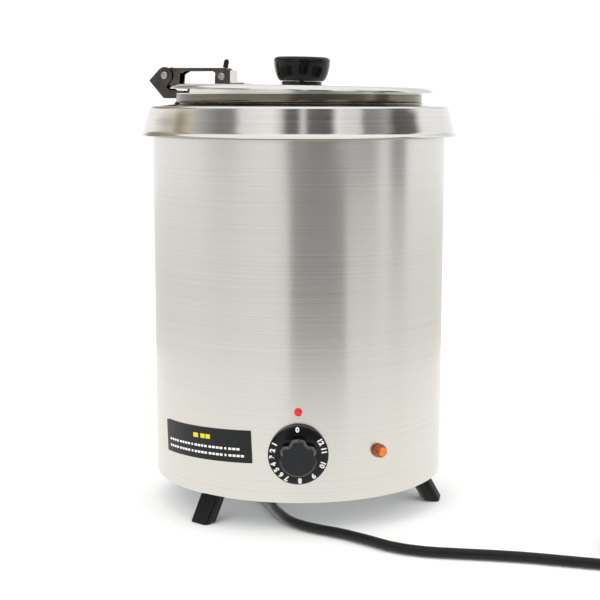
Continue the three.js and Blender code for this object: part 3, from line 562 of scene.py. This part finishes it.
softLights = [
    ("keyLight", (-1.3, -1.5, 1.9), 1.4, 14),
    ("fillLight", (1.7, -0.9, 1.5), 1.2, 8),
    ("topLight", (0.0, 0.5, 2.2), 1.6, 10),
]
for name, place, size, power in softLights:
    data = bpy.data.lights.new(name, "AREA")
    data.shape = "SQUARE"
    data.size = size
    data.energy = power
    lamp = bpy.data.objects.new(name, data)
    bpy.context.scene.collection.objects.link(lamp)
    lamp.visible_glossy = False
    lamp.location = place
    aim = Vector((0, 0, room["wallCentre"])) - Vector(place)
    lamp.rotation_euler = aim.to_track_quat("-Z", "Y").to_euler()
print("room lit")


# Casing: rolled wall with its turned-in top edge, and the lapped seam at the back

casing = {
    "radius": casingRadius,
    "bottom": 28.5,
    "top": 343,
    "edge": 2,
    "flange": 9.5,
    "foldIn": 0.6,
    "seamWidth": 12,
    "seamSheet": 0.6,
    "seamGap": 0.05,
    "seamFoot": 1.5,  # above the casing's bottom edge
    "seamShort": 4.5,  # shorter than the casing
}
r, top = casing["radius"], casing["top"]
wallPath = [
    (r - casing["foldIn"], casing["bottom"]),
    (r, casing["bottom"] + casing["foldIn"]),
    *[(r, z) for z in (60, 110, 170, 230, 290)],
    *arc(r - casing["edge"], top - casing["edge"], casing["edge"], 0, 90, 6),
    (r - casing["flange"], top),
]
casingWall = settle(pressed("casingWall", wallPath, 192), onAxis)
finish(casingWall, "base", brushedCasingSteel, "casing_steel", "outer_shell")

# the lap is drawn as one upright line and spun a few degrees round the casing
seam = startPoint("casingSeam", 0, r + casing["seamSheet"] / 2 + casing["seamGap"],
                  casing["bottom"] + casing["seamFoot"])
draw((0, 0, top - casing["bottom"] - casing["seamShort"]))
spinAround(seam, 4, casing["seamWidth"] / r)
addModifier(seam, "SOLIDIFY", thickness=casing["seamSheet"] * mm, offset=0)
addModifier(seam, "BEVEL", width=0.2 * mm, segments=2, limit_method="ANGLE")
smoothOver(settle(seam, onAxis))
finish(seam, "base", brushedCasingSteel, "casing_steel")
print("casing made")


# Water pan and pot

def vesselPath(vessel, steps):
    # floor, rounded corner, wall and turned-out rim
    r, floor, corner, rim, bend = (vessel[key] for key in ("radius", "floor", "corner", "rim", "bend"))
    return [
        (0, floor),
        *arc(r - corner, floor + corner, corner, -90, 0, steps),
        (r, rim - bend),
        (r + bend * 0.3, rim - bend * 0.3),
        (r + bend, rim),
        (vessel["flangeTo"], rim),
    ]


pan = {
    "radius": 122,
    "floor": 105,
    "corner": 18,
    "rim": 343.3,
    "flangeTo": 133,
    "bend": 2,
    "studRadius": 3,
    "studLength": 20,
    "studMiddle": 9.5,  # below the pan's floor
    "studBevel": 0.5,
}
waterPan = settle(pressed("waterPan", vesselPath(pan, 8), 128), onAxis)
clearSelection()
bpy.ops.mesh.primitive_cylinder_add(
    vertices=24, radius=pan["studRadius"] * mm, depth=pan["studLength"] * mm,
    location=(0, axisSetback * mm, (pan["floor"] - pan["studMiddle"]) * mm))
stud = bpy.context.object
bpy.ops.object.transform_apply(location=True)
addModifier(stud, "BEVEL", width=pan["studBevel"] * mm, segments=2, limit_method="ANGLE")
smoothOver(stud)
joined(waterPan, stud)
finish(waterPan, "base", drawnPotSteel, "plated_steel", "water_pan")

pot = {"radius": 110, "floor": 119, "corner": 14, "rim": 379.3, "flangeTo": 113.6, "bend": 1.2}
innerPot = settle(pressed("innerPot", vesselPath(pot, 10), 144), onAxis)
finish(innerPot, "top_ring", drawnPotSteel, "polished_steel", "inner_pot")
print("pan and pot made")


# Flared top ring

ring = {
    "lip": 146,
    "lipHeight": 342.5,
    "flareFoot": 143.2,
    "flareTop": 138.4,
    "top": 370.5,
    "fall": 1.6,
    "shoulder": 3,
    "neck": 113.8,
    "neckTop": 379,
    "fillet": 4,
    "dullAbove": 0.8,
    "dullWithin": 1.2,
}
shoulder = ring["top"] - ring["fall"] - ring["shoulder"]
ringPath = [
    (ring["lip"], ring["lipHeight"]),
    (ring["lip"] - 0.3, ring["lipHeight"] + 0.8),
    (ring["lip"] - 1.0, ring["lipHeight"] + 1.6),
    (ring["lip"] - 1.9, ring["lipHeight"] + 2.4),
    (ring["flareFoot"] + 0.3, ring["lipHeight"] + 3.4),
    (ring["flareFoot"], ring["lipHeight"] + 4.8),
    (ring["flareTop"] + 2.4, (ring["lipHeight"] + shoulder) / 2 + 2.4),
    (ring["flareTop"], shoulder),
    *arc(ring["flareTop"] - ring["shoulder"], shoulder, ring["shoulder"], 8, 86, 8),
    *arc(ring["neck"] + ring["fillet"], ring["top"] + ring["fillet"], ring["fillet"], 270, 180, 8),
    (ring["neck"], ring["neckTop"]),
]
topRing = settle(pressed("topRing", ringPath, 192), onAxis)
topRing.data.materials.append(buffedRingSteel)
topRing.data.materials.append(dullNeckSteel)
# painted shade: the neck above the ring's top takes the darker steel
useMaterial(topRing, 1, lambda centre, normal: centre.z > ring["top"] + ring["dullAbove"]
            and math.hypot(centre.x, centre.y - axisSetback) < ring["neck"] + ring["dullWithin"])
finish(topRing, "top_ring", None, "casing_steel", "collar_ring")
print("top ring made")


# Lid, its spigot and its knob, in the lid's own level frame

lid = {
    "hingeAzimuth": 160,
    "shift": 2.5,  # away from the hinge
    "level": 382.85,
    "tilt": 1,
    "radius": 122,
    "height": 4.6,
    "shoulder": 10,
    "flatTo": (40, 80),  # rings that keep the flat top's shading even
}
hingeFrame = onAxis @ rotated(lid["hingeAzimuth"], "Z")
lidFrame = hingeFrame @ moved(-lid["shift"], 0, lid["level"]) @ rotated(-lid["tilt"], "Y")
edge = lid["radius"] - lid["shoulder"]
outer = [(edge + lid["shoulder"] * x, lid["height"] * y) for x, y in arc(0, 0, 1, 90, 0, 12)]
under = lid["height"] - sheet
inner = [(edge + (lid["shoulder"] - sheet) * x, under * y) for x, y in arc(0, 0, 1, 90, 0, 12)]
lidPath = [(0, lid["height"]), *[(r, lid["height"]) for r in lid["flatTo"]], *outer,
           *inner[::-1], *[(r, under) for r in lid["flatTo"][::-1]], (0, under)]
lidShell = settle(turned("lidShell", lidPath, 192, 40), lidFrame)
finish(lidShell, "lid", mirrorLidSteel, "polished_steel", "lid_shell")

spigot = {"inside": 104.3, "outside": 105.5, "flange": 114.5, "foot": -8, "top": 3.1}
spigotPath = [(spigot["inside"], spigot["foot"]), (spigot["outside"], spigot["foot"]), (spigot["outside"], 0),
              (spigot["flange"], 0), (spigot["flange"], sheet), (spigot["outside"], sheet),
              (spigot["outside"], spigot["top"]), (spigot["inside"], spigot["top"]),
              (spigot["inside"], spigot["foot"])]
lidSpigot = settle(turned("lidSpigot", spigotPath, 144), lidFrame)
finish(lidSpigot, "lid", mirrorLidSteel, "polished_steel", "lid_spigot")

knob = {
    "base": 4.9,
    "baseRadius": 18.7,
    "baseHeight": 3.9,
    "foot": 9.1,
    "footRadius": 20,
    "radius": 26.2,
    "height": 22,
    "groove": 0.45,
    "bowlSteps": 12,
    "topRound": 4,
    "dish": 9,  # from the rim to the shallow dish in the top
    "baseRound": 0.8,
}
foot, reach, tip = knob["foot"], knob["radius"], knob["foot"] + knob["height"]
waist = reach - 0.3 - knob["groove"]
# the bowl is a curve from its foot to the groove under the rim
corners = ((knob["footRadius"] + 0.6, foot + 0.4), (reach - 3.2, foot + 2.6), (reach - 0.9, foot + 8.5),
           (reach - 0.3, tip - 5.4))
bowl = []
for i in range(knob["bowlSteps"] + 1):
    t = i / knob["bowlSteps"]
    weights = ((1 - t) ** 3, 3 * t * (1 - t) ** 2, 3 * t * t * (1 - t), t ** 3)
    bowl.append(tuple(sum(w * c[k] for w, c in zip(weights, corners)) for k in (0, 1)))
knobPath = [
    (0, foot),
    (knob["footRadius"], foot),
    *bowl,
    (waist, tip - 5.2),
    (waist, tip - 4.9),
    (reach - 0.1, tip - 4.7),
    *arc(reach - knob["topRound"], tip - knob["topRound"], knob["topRound"], 5, 80, 8),
    (reach - knob["dish"] + 1, tip),
    (reach - knob["dish"], tip - 0.35),
    (reach - 16, tip - 0.1),
    (0, tip),
]
lidKnob = settle(turned("lidKnob", knobPath, 96, 25), lidFrame)
finish(lidKnob, "lid", glossPhenolic, "black_plastic", "lid_knob")

baseTop, baseRound = knob["base"] + knob["baseHeight"], knob["baseRound"]
basePath = [(0, knob["base"]), (knob["baseRadius"], knob["base"]),
            *arc(knob["baseRadius"] - baseRound, baseTop - baseRound, baseRound, 0, 90, 4),
            (0, baseTop)]
knobBase = settle(turned("knobBase", basePath, 96), lidFrame)
finish(knobBase, "lid", glossPhenolic, "black_plastic", "knob_base")
print("lid and knob made")


# Hinge: brackets, strap, stop and pins

def merged(node, name):
    # a merged copy of a CAD node
    piece = bpy.data.objects.new(name, nodes[node].data.copy())
    bpy.context.scene.collection.objects.link(piece)
    piece.data.materials.clear()
    pick(piece)
    bpy.ops.mesh.customdata_custom_splitnormals_clear()
    bpy.ops.object.mode_set(mode="EDIT")
    bpy.ops.mesh.select_all(action="SELECT")
    bpy.ops.mesh.remove_doubles(threshold=5e-6)
    bpy.ops.mesh.dissolve_limited(angle_limit=math.radians(2))
    bpy.ops.object.mode_set(mode="OBJECT")
    return piece


def rounded(piece, width):
    # sharp edges rounded over, flat faces kept flat
    addModifier(piece, "BEVEL", width=width * mm, segments=2, limit_method="ANGLE",
                angle_limit=math.radians(25))
    smoothOver(piece, 35)
    addModifier(piece, "WEIGHTED_NORMAL", keep_sharp=True)
    return piece


def refined(node, name, width):
    return rounded(merged(node, name), width)


hinge = {
    "outer": (133.3, 397.8),  # from the casing's axis, and height
    "lidPivot": (76.7, 12.1),  # the same in the lid's frame
    "width": 18,
    "edge": 0.25,
    "nickelWithin": 6,  # of the lid pivot, where the bracket's front takes the painted dark reflection; the bracket is bright beyond it
}
# painted dark reflection: the neck bracket and the arm take the darkened hinge steel
for node, name, body in (("neck_bracket", "neckBracket", "top_ring"), ("hinge_arm", "hingeArm", "arm")):
    finish(refined(node, name, hinge["edge"]), body, nickelHingeSteel, "polished_steel", node)
lidBracket = refined("lid_bracket", "lidBracket", hinge["edge"])
lidBracket.data.materials.append(mirrorLidSteel)
lidBracket.data.materials.append(nickelHingeSteel)
eyeCentre = lidFrame @ Vector((hinge["lidPivot"][0] * mm, 0, hinge["lidPivot"][1] * mm)) / mm
# painted dark reflection on the bracket's front faces near the lid pivot
useMaterial(lidBracket, 1,
            lambda centre, normal: centre.x < eyeCentre.x + hinge["nickelWithin"] and normal.y < -0.5)
finish(lidBracket, "lid", None, "polished_steel", "lid_bracket")

# the rubber stop: a slim round stub that leans toward the knob
stop = {"out": 74, "foot": 404.7, "radius": 2.4, "height": 8.2, "lean": 12, "flare": 0.3, "flareHeight": 1.2}
stopPath = [(0, 0), (stop["radius"] + stop["flare"], 0), (stop["radius"], stop["flareHeight"]),
            *arc(0, stop["height"] - stop["radius"], stop["radius"], 0, 90, 8)]
stopPlace = hingeFrame @ moved(stop["out"], 0, stop["foot"]) @ rotated(-stop["lean"], "Y")
armStop = settle(turned("armStop", stopPath, 40, 40), stopPlace)
finish(armStop, "arm", blackRubber, "black_rubber", "arm_stop")

pinShape = {"radius": 2.5, "head": 3.4, "height": 1.3, "bore": 1.3, "gap": 0.3}


def hingePin(name, out, up, frameOf):
    # a shank with the same rolled and dimpled head at both ends
    half = hinge["width"] / 2
    head, height, gap = pinShape["head"], pinShape["height"], pinShape["gap"]
    end = [(head, half + gap), (head, half + gap + 0.35), (head * 0.86, half + height * 0.8),
           (head * 0.62, half + height), (pinShape["bore"], half + height),
           (pinShape["bore"] * 0.8, half + height * 0.55), (0, half + height * 0.45)]
    path = [(r, -z) for r, z in end[::-1]] + [(pinShape["radius"], -half - gap),
                                             (pinShape["radius"], half + gap)] + end
    pin = turned(name, path, 40, 35)
    place = frameOf @ moved(out, 0, up) @ rotated(90, "X")
    return settle(pin, place)


finish(hingePin("neckPin", *hinge["outer"], hingeFrame), "arm", zincPlate, "polished_steel", "neck_pin")
finish(hingePin("lidPin", *hinge["lidPivot"], lidFrame), "lid", zincPlate, "polished_steel", "lid_pin")
print("hinge made")


# Dial: skirt with its numbers, and the grip

dial = {
    "height": 72.5,
    "radius": 26.2,
    "back": 1.2,
    "depth": 4.4,
    "chamfer": 1.4,
    "wall": 1.6,
    "hollow": 3,  # skirt's edge to its hollow back
    "bore": 3.3,
    "slopeWidth": 1.9,
    "slopeDepth": 2.6,
    "gripEdge": 0.45,
    "numberSize": 6.0,
    "numberReach": 22.3,
    "numberWeight": 0.3,
    "inkDepth": 0.03,
}
dialFrame = wallFrame(0, dial["height"])
front = dial["back"] + dial["depth"]
rim, back = dial["radius"], dial["back"]
skirtPath = [
    (rim - dial["wall"], back),
    (rim - 0.3, back),
    (rim, back + 0.3),
    (rim, back + 2.2),
    *arc(rim - 0.9, back + 2.4, 0.9, 0, 50, 4),
    (rim - dial["chamfer"] - 0.3, front - 0.15),
    (rim - dial["chamfer"] - 0.9, front),
    (dial["bore"], front),
    (dial["bore"], front - dial["wall"]),
    (rim - dial["hollow"], front - dial["wall"]),
    (rim - dial["wall"], back),
]
dialSkirt = turned("dialSkirt", skirtPath, 128, 28)
dialSkirt.data.materials.append(glossPhenolic)
dialSkirt.data.materials.append(rubbedPhenolic)
# painted highlight on the skirt's chamfer ring
useMaterial(dialSkirt, 1, lambda centre, normal: centre.z > front - 2 and 0.15 < normal.z < 0.7)
settle(dialSkirt, dialFrame)
finish(dialSkirt, "dial", None, "black_plastic", "dial_skirt")

# each number and its turn in degrees from the top, clockwise
numbers = [("0", -2), ("12", 58), ("11", 79), ("10", 111), ("9", 144), ("8", 176), ("7", 206),
           ("6", 221), ("5", 236), ("4", 250), ("3", 267), ("2", 281), ("1", 296)]
printed = []
for text, turn in numbers:
    clearSelection()
    bpy.ops.object.text_add(location=(0, 0, 0))
    mark = bpy.context.object
    mark.data.body = text
    mark.data.size = dial["numberSize"] * mm
    mark.data.align_x = "CENTER"
    mark.data.align_y = "CENTER"
    mark.data.offset = dial["numberWeight"] * mm
    mark.data.extrude = dial["inkDepth"] * mm
    bpy.ops.object.convert(target="MESH")
    mark = bpy.context.object
    lift = moved(0, dial["numberReach"], front + 0.04)
    settle(mark, dialFrame @ rotated(-turn, "Z") @ lift)
    printed.append(mark)
dialNumbers = joined(*printed)
dialNumbers.name = "dialNumbers"
finish(dialNumbers, "dial", printingInk, "label_film")

dialGrip = merged("dial_grip", "dialGrip")
pickFaces(dialGrip, lambda centre, normal: normal.y < -0.97)
bpy.ops.transform.translate(value=(0, dial["slopeDepth"] * mm, 0))
bpy.ops.mesh.inset(thickness=dial["slopeWidth"] * mm)
bpy.ops.transform.translate(value=(0, -dial["slopeDepth"] * mm, 0))
bpy.ops.object.mode_set(mode="OBJECT")
rounded(dialGrip, dial["gripEdge"])
for material in (glossPhenolic, mattPhenolic, rubbedPhenolic):
    dialGrip.data.materials.append(material)
useMaterial(dialGrip, 1, lambda centre, normal: normal.y < -0.97)
# painted highlight on the grip's sloped edges above the dial's middle
useMaterial(dialGrip, 2, lambda centre, normal: -0.97 < normal.y < -0.2 and centre.z > dial["height"] + 2)
finish(dialGrip, "dial", None, "black_plastic", "dial_grip")
print("dial made")


# Pilot lamp, index dot and label

lampShape = {
    "azimuth": 31.3,
    "height": 70.7,
    "radius": 6.3,
    "sides": 12,
    "rim": (0.3, 1.9),  # foot and top, off the wall
    "bodyTop": 5.5,
    "capTop": 7.8,
    "bodyTaper": 0.9,
    "capTaper": 0.74,
    "dome": (0.5, 0.2),  # the face's inset and rise
    "edge": 0.25,
}
rimFoot, rimTop = lampShape["rim"]
bodyTop, capTop = lampShape["bodyTop"], lampShape["capTop"]
lampFrame = wallFrame(lampShape["azimuth"], lampShape["height"])
clearSelection()
bpy.ops.mesh.primitive_cylinder_add(
    vertices=lampShape["sides"], radius=lampShape["radius"] * mm, depth=(rimTop - rimFoot) * mm,
    location=(0, 0, (rimTop + rimFoot) / 2 * mm))
lampLens = bpy.context.object
lampLens.name = "lampLens"
bpy.ops.object.transform_apply(location=True)
pickFaces(lampLens, lambda centre, normal: normal.z > 0.9)
for rise, taper, top in ((bodyTop - rimTop, lampShape["bodyTaper"], bodyTop),
                         (capTop - bodyTop, lampShape["capTaper"], capTop)):
    bpy.ops.mesh.extrude_region_move(TRANSFORM_OT_translate={"value": (0, 0, rise * mm)})
    bpy.ops.transform.resize(value=(taper, taper, 1), center_override=(0, 0, top * mm))
bpy.ops.mesh.inset(thickness=lampShape["dome"][0] * mm, depth=lampShape["dome"][1] * mm)
bpy.ops.object.mode_set(mode="OBJECT")
addModifier(lampLens, "BEVEL", width=lampShape["edge"] * mm, segments=2, limit_method="ANGLE",
            angle_limit=math.radians(20))
lampLens.data.materials.append(amberPolycarbonate)
lampLens.data.materials.append(deepAmber)
# painted shade on the lamp's sloping sides and its foot
useMaterial(lampLens, 1, lambda centre, normal: normal.z < 0.75 or centre.z < rimTop + 0.5)
settle(smoothOver(lampLens, 20), lampFrame)
finish(lampLens, "base", None, "amber_plastic", "lamp_lens")

dot = {"height": 109.2, "radius": 3.5, "back": 0.3, "domeFoot": 0.6, "dome": 1.3}
dotDome = [(dot["radius"] * x, dot["domeFoot"] + dot["dome"] * y) for x, y in arc(0, 0, 1, 8, 90, 10)]
dotPath = [(0, dot["back"]), (dot["radius"] - 0.3, dot["back"]), (dot["radius"], dot["back"] + 0.2), *dotDome]
indexDot = settle(turned("indexDot", dotPath, 48, 40), wallFrame(0, dot["height"]))
finish(indexDot, "base", redAcrylic, "red_plastic", "index_dot")

label = {
    "azimuth": -39.4,
    "height": 74.7,
    "size": (103.5, 28.7),
    "gap": 0.35,
    "film": 0.5,
    "tilt": 2.5,
    "columns": 104,
    "rows": 29,
    "dashRows": ((-2.5, -46, 42), (-8.5, -46, 46)),  # height, start and end
    "dashHalfHeight": 1.1,
    "dashStep": 4.2,
    "dashLength": 2.9,
    "markHeight": 6.5,
    "markHalfHeight": 2.1,
    "markStep": 6.2,
    "markLength": 5,
}
half = label["size"][0] / 2 / casingRadius
shell = casingRadius + label["gap"] + label["film"] / 2
labelPlate = startPoint("labelPlate", shell * math.sin(half), -shell * math.cos(half), -label["size"][1] / 2)
for i in range(label["rows"]):
    draw((0, 0, label["size"][1] / label["rows"]))
spinAround(labelPlate, label["columns"], 2 * half)
addModifier(labelPlate, "SOLIDIFY", thickness=label["film"] * mm, offset=0)
labelPlate.data.materials.append(labelFilm)
labelPlate.data.materials.append(printingInk)
labelPlate.data.materials.append(yellowInk)


def printCells(material, wanted):
    # the printed cells of the label, by their distance along it and their height in mm
    def cell(centre, normal):
        along = math.atan2(centre.x, -centre.y) * casingRadius
        return math.hypot(centre.x, centre.y) > shell + 0.1 and wanted(along, centre.z)
    useMaterial(labelPlate, material, cell)


def dashes(along, height):
    for level, start, end in label["dashRows"]:
        if abs(height - level) < label["dashHalfHeight"] and start < along < end:
            return (along - start) % label["dashStep"] < label["dashLength"]
    return False


def marks(along, height):
    # one yellow block for the sign and two for the words beside it
    if abs(height - label["markHeight"]) >= label["markHalfHeight"]:
        return False
    return -9 < along < -3 or (0 < along < 12 and along % label["markStep"] < label["markLength"])


printCells(1, dashes)
printCells(2, marks)
labelTurn = rotated(label["azimuth"], "Z") @ moved(0, 0, label["height"]) @ rotated(-label["tilt"], "Y")
settle(smoothOver(labelPlate), onAxis @ labelTurn)
finish(labelPlate, "base", None, "label_film", "label_plate")
print("lamp, dot and label made")


# Feet: splayed moulded blocks with ribs down their faces

feet = {
    "reach": 129.5,
    "splay": 29.6,
    "top": 28.2,
    "size": (17, 23),
    "corner": 5,
    "ribs": 5,
    "ribDepth": 0.7,
    "ribRadius": 1.2,
    "sideRib": 2.2,  # the two ribs of each side, from its middle
    "edge": 1.1,
}


def buildFoot():
    # an upright block with ribs, then leaned over by its splay
    radius = feet["ribRadius"]
    slope = math.tan(math.radians(feet["splay"]))
    along, across = feet["size"]
    clearSelection()
    bpy.ops.mesh.primitive_cube_add(size=mm, location=(0, 0, 0))
    foot = bpy.context.object
    foot.scale = (along - 2 * feet["ribDepth"], across - 2 * feet["ribDepth"], feet["top"])
    foot.location.z = feet["top"] / 2 * mm
    bpy.ops.object.transform_apply(location=True, scale=True)
    bpy.ops.object.mode_set(mode="EDIT")
    bpy.ops.mesh.select_mode(type="EDGE")
    bpy.ops.mesh.select_all(action="DESELECT")
    bpy.ops.object.mode_set(mode="OBJECT")
    for line in foot.data.edges:
        a, b = (foot.data.vertices[v].co for v in line.vertices)
        line.select = abs(a.z - b.z) > 1 * mm
    bpy.ops.object.mode_set(mode="EDIT")
    bpy.ops.mesh.bevel(offset=feet["corner"] * mm, segments=6, affect="EDGES")
    bpy.ops.object.mode_set(mode="OBJECT")
    parts = []
    spots = []
    step = (across - 2 * feet["corner"]) / (feet["ribs"] - 1)
    for i in range(feet["ribs"]):
        for side in (-1, 1):
            spots.append((side * (along / 2 - radius), -across / 2 + feet["corner"] + i * step))
    for i in (-1, 1):
        for side in (-1, 1):
            spots.append((i * feet["sideRib"], side * (across / 2 - radius)))
    for x, y in spots:
        clearSelection()
        bpy.ops.mesh.primitive_cylinder_add(
            vertices=14, radius=radius * mm, depth=(feet["top"] - radius) * mm,
            location=(x * mm, y * mm, (feet["top"] + radius) / 2 * mm))
        rib = bpy.context.object
        bpy.ops.object.transform_apply(location=True)
        parts.append(rib)
    foot = joined(foot, *parts)
    addModifier(foot, "BEVEL", width=feet["edge"] * mm, segments=4, limit_method="ANGLE",
                angle_limit=math.radians(50))
    foot.data.transform(Matrix(((1, 0, -slope, 0), (0, 1, 0, 0), (0, 0, 1, 0), (0, 0, 0, 1))))
    return smoothOver(foot, 40)


footModel = buildFoot()
for name, azimuth in (("foot_front_left", -41), ("foot_right", 79), ("foot_back", 199)):
    piece = bpy.data.objects.new(name.replace("_", "") + "Moulding", footModel.data.copy())
    bpy.context.scene.collection.objects.link(piece)
    turn = rotated(azimuth - 90, "Z")
    settle(piece, onAxis @ turn @ moved(feet["reach"], 0, 0))
    finish(piece, "base", footAbs, "black_plastic", name)
bpy.data.objects.remove(footModel)
print("feet made")


# Cord gland, plug and tie

gland = {
    "place": (-36, 58),
    "block": (22, 26, 19),
    "top": 28.2,
    "stem": 6.5,
    "stemTop": 40,
    "sunk": 0.8,  # the block's underside inside its border
    "border": 2.5,
    "edge": 2,
    "stemInset": 1,
    "stemEdge": 0.6,
    "nose": (8.0, 5.9),  # radius at the block and at the tip
    "rings": 6,
    "ringStart": 11,
    "ringStep": 4.2,
    "ringDepth": 0.9,
    "start": (-36, 47, 15),
    "end": (-35.2, 8, 11),
}
wide, deep, high = gland["block"]
glandX, glandY = gland["place"]
clearSelection()
bpy.ops.mesh.primitive_cube_add(size=mm, location=(0, 0, 0))
glandBlock = bpy.context.object
glandBlock.name = "cordGland"
glandBlock.scale = (wide, deep, high)
glandBlock.location = (glandX * mm, glandY * mm, (gland["top"] - high / 2) * mm)
bpy.ops.object.transform_apply(location=True, scale=True)
pickFaces(glandBlock, lambda centre, normal: normal.z < -0.9)
bpy.ops.mesh.inset(thickness=gland["border"] * mm)
bpy.ops.mesh.extrude_region_move(TRANSFORM_OT_translate={"value": (0, 0, gland["sunk"] * mm)})
bpy.ops.object.mode_set(mode="OBJECT")
addModifier(glandBlock, "BEVEL", width=gland["edge"] * mm, segments=4, limit_method="ANGLE")
smoothOver(glandBlock)
stemFoot, stemTop, stemEdge = gland["top"] - gland["stemInset"], gland["stemTop"], gland["stemEdge"]
stemPath = [(0, stemFoot), (gland["stem"], stemFoot), (gland["stem"], stemTop - stemEdge),
            (gland["stem"] - stemEdge, stemTop), (0, stemTop)]
stem = settle(turned("glandStem", stemPath, 32), moved(glandX, glandY, 0))
away = Vector(gland["end"]) - Vector(gland["start"])
noseFoot, noseTip = gland["nose"]
nosePath = [(0, 0), (noseFoot, 0), (noseFoot, gland["ringStart"] - 1)]
for i in range(gland["rings"]):
    wide = noseFoot + (noseTip - noseFoot) * (i + 1) / (gland["rings"] + 1)
    narrow = wide - gland["ringDepth"]
    z = gland["ringStart"] + i * gland["ringStep"]
    nosePath += [(wide, z), (narrow, z + 0.5), (narrow, z + 1.6), (wide - 0.1, z + 2.1)]
nosePath += [(noseTip, away.length - 1.2), (noseTip - 0.8, away.length), (0, away.length)]
aim = away.to_track_quat("Z", "Y").to_matrix().to_4x4()
nose = settle(turned("glandNose", nosePath, 32), Matrix.Translation(Vector(gland["start"]) * mm) @ aim)
finish(joined(glandBlock, stem, nose), "base", blackRubber, "black_rubber", "cord_gland")

plug = {
    "start": (394, -187),
    "radius": 18.5,
    "boot": 22,
    "length": 36,
    "tip": 5.9,  # the boot's radius at the lead
    "foot": 8,  # and at the body
    "bootRings": (2.4, 4.6, 0.8),  # first one, step and depth
    "gripRings": (10, 3.2, 0.5),
    "pinSpacing": 19,
    "pinRadius": 2.4,
    "pinLength": 19,
}
plugFrame = moved(*plug["start"], plug["radius"]) @ rotated(-90, "X")
back = plug["boot"]
end = plug["boot"] + plug["length"]
body = plug["radius"]
plugPath = [(0, 0), (plug["tip"] - 0.6, 0), (plug["tip"], 0.6)]
first, step, deep = plug["bootRings"]
for i in range(4):
    z = first + i * step
    wide = plug["tip"] + (plug["foot"] - plug["tip"]) * z / back
    plugPath += [(wide, z), (wide - deep, z + 0.5), (wide - deep, z + 1.7), (wide, z + 2.2)]
plugPath += [(plug["foot"], back - 0.4), (body - 3.4, back + 1.6), (body - 1.2, back + 4.2),
             (body, back + 7.5)]
first, step, deep = plug["gripRings"]
for i in range(4):
    z = back + first + i * step
    plugPath += [(body, z), (body - deep, z + 0.4), (body - deep, z + 1.2), (body, z + 1.6)]
plugPath += [(body, end - 1.2), (body - 0.5, end - 0.35), (body - 1.2, end), (0, end)]
plugBody = settle(turned("plugBody", plugPath, 64), plugFrame)
finish(plugBody, "base", blackRubber, "black_rubber", "plug_body")
plugPins = []
pinEnd = end + plug["pinLength"]
pinRadius = plug["pinRadius"]
pinPath = [(0, end + 0.3), (pinRadius, end + 0.3), (pinRadius, pinEnd - 2.4), (pinRadius - 0.4, pinEnd - 1),
           (pinRadius / 2, pinEnd - 0.2), (0, pinEnd)]
for i, side in enumerate((-1, 1)):
    pin = turned(f"plugPin{i + 1}", pinPath, 32)
    settle(pin, plugFrame @ moved(side * plug["pinSpacing"] / 2, 0, 0))
    finish(pin, "base", zincPlate, "plated_steel", f"plug_pin_{i + 1}")
    plugPins.append(pin)
cordTie = refined("cord_tie", "cordTie", 0.4)
finish(cordTie, "base", blackRubber, "black_rubber", "cord_tie")
print("gland, plug and tie made")


# Mains lead: one length from the gland along the floor, into its coil and to the plug

lead = {
    "radius": 4.5,
    "length": 1.5,
    "coilCentre": (318, -180),
    "coilRadius": 49.5,
    "turns": 3,
    "pointsPerTurn": 16,
    "start": (-35.2, 7.7, 10.98),
}
# points of the lead's middle: along the floor to the coil, and from the coil up to the plug
floorRun = [
    (-34.9, -8, 8.6), (-33.2, -24, 5.6), (-29.6, -41, 4.5), (-24.5, -55, 4.5), (-20.5, -71, 4.5),
    (-15.2, -87, 4.5), (-7.3, -104.5, 4.5), (3.4, -118, 4.5), (18, -129, 4.5), (36, -140, 4.5),
    (57.5, -157, 4.5), (80, -176.5, 4.5), (104, -187.5, 4.5), (130, -192.5, 4.5), (160, -197, 4.5),
    (190, -203, 4.5), (220, -211.5, 4.5), (250, -220, 4.5), (283.5, -228, 4.5),
]
tailRun = [
    (352, -229.5, 28.5), (366, -224, 25.8), (378, -215.5, 22.5), (387, -204.5, 19.8),
    (393.2, -195, 18.5), (394, -187.6, 18.5),
]
coilRun = []
for i in range(lead["turns"] * lead["pointsPerTurn"] + 1):
    turn = i / lead["pointsPerTurn"]
    around = math.tau * turn - math.pi / 2
    coilRun.append((lead["coilCentre"][0] + lead["coilRadius"] * math.cos(around),
                    lead["coilCentre"][1] + lead["coilRadius"] * math.sin(around),
                    lead["radius"] * (1 + 2 * turn)))
route = [lead["start"], *floorRun, *coilRun, *tailRun]
leadCurve = bpy.data.curves.new("powerCord", "CURVE")
leadCurve.dimensions = "3D"
leadCurve.bevel_depth = lead["radius"] * mm
leadCurve.bevel_resolution = 6
leadCurve.resolution_u = 6
leadCurve.use_fill_caps = True
line = leadCurve.splines.new("BEZIER")
line.bezier_points.add(len(route) - 1)
for point, spot in zip(line.bezier_points, route):
    point.co = Vector(spot) * mm
    point.handle_left_type = point.handle_right_type = "AUTO"
powerCord = bpy.data.objects.new("powerCord", leadCurve)
bpy.context.scene.collection.objects.link(powerCord)
leadCurve.materials.append(leadPvc)
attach(powerCord, "base")
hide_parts("power_cord", "cord_coil", "cord_tail")
for piece in (powerCord, plugBody, *plugPins, cordTie):
    piece.visible_glossy = False  # the coil and the plug leave no dark streak in the casing
print("lead laid")


# CAD nodes that stay take the finish of their slot

for name, node in nodes.items():
    slotName = node.material_slots[0].material.name
    key = slotName.split(".")[0]
    if key in slotFinish:
        for place in node.material_slots:
            place.material = slotFinish[key]
print("finishes of the CAD pieces set")

low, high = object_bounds()
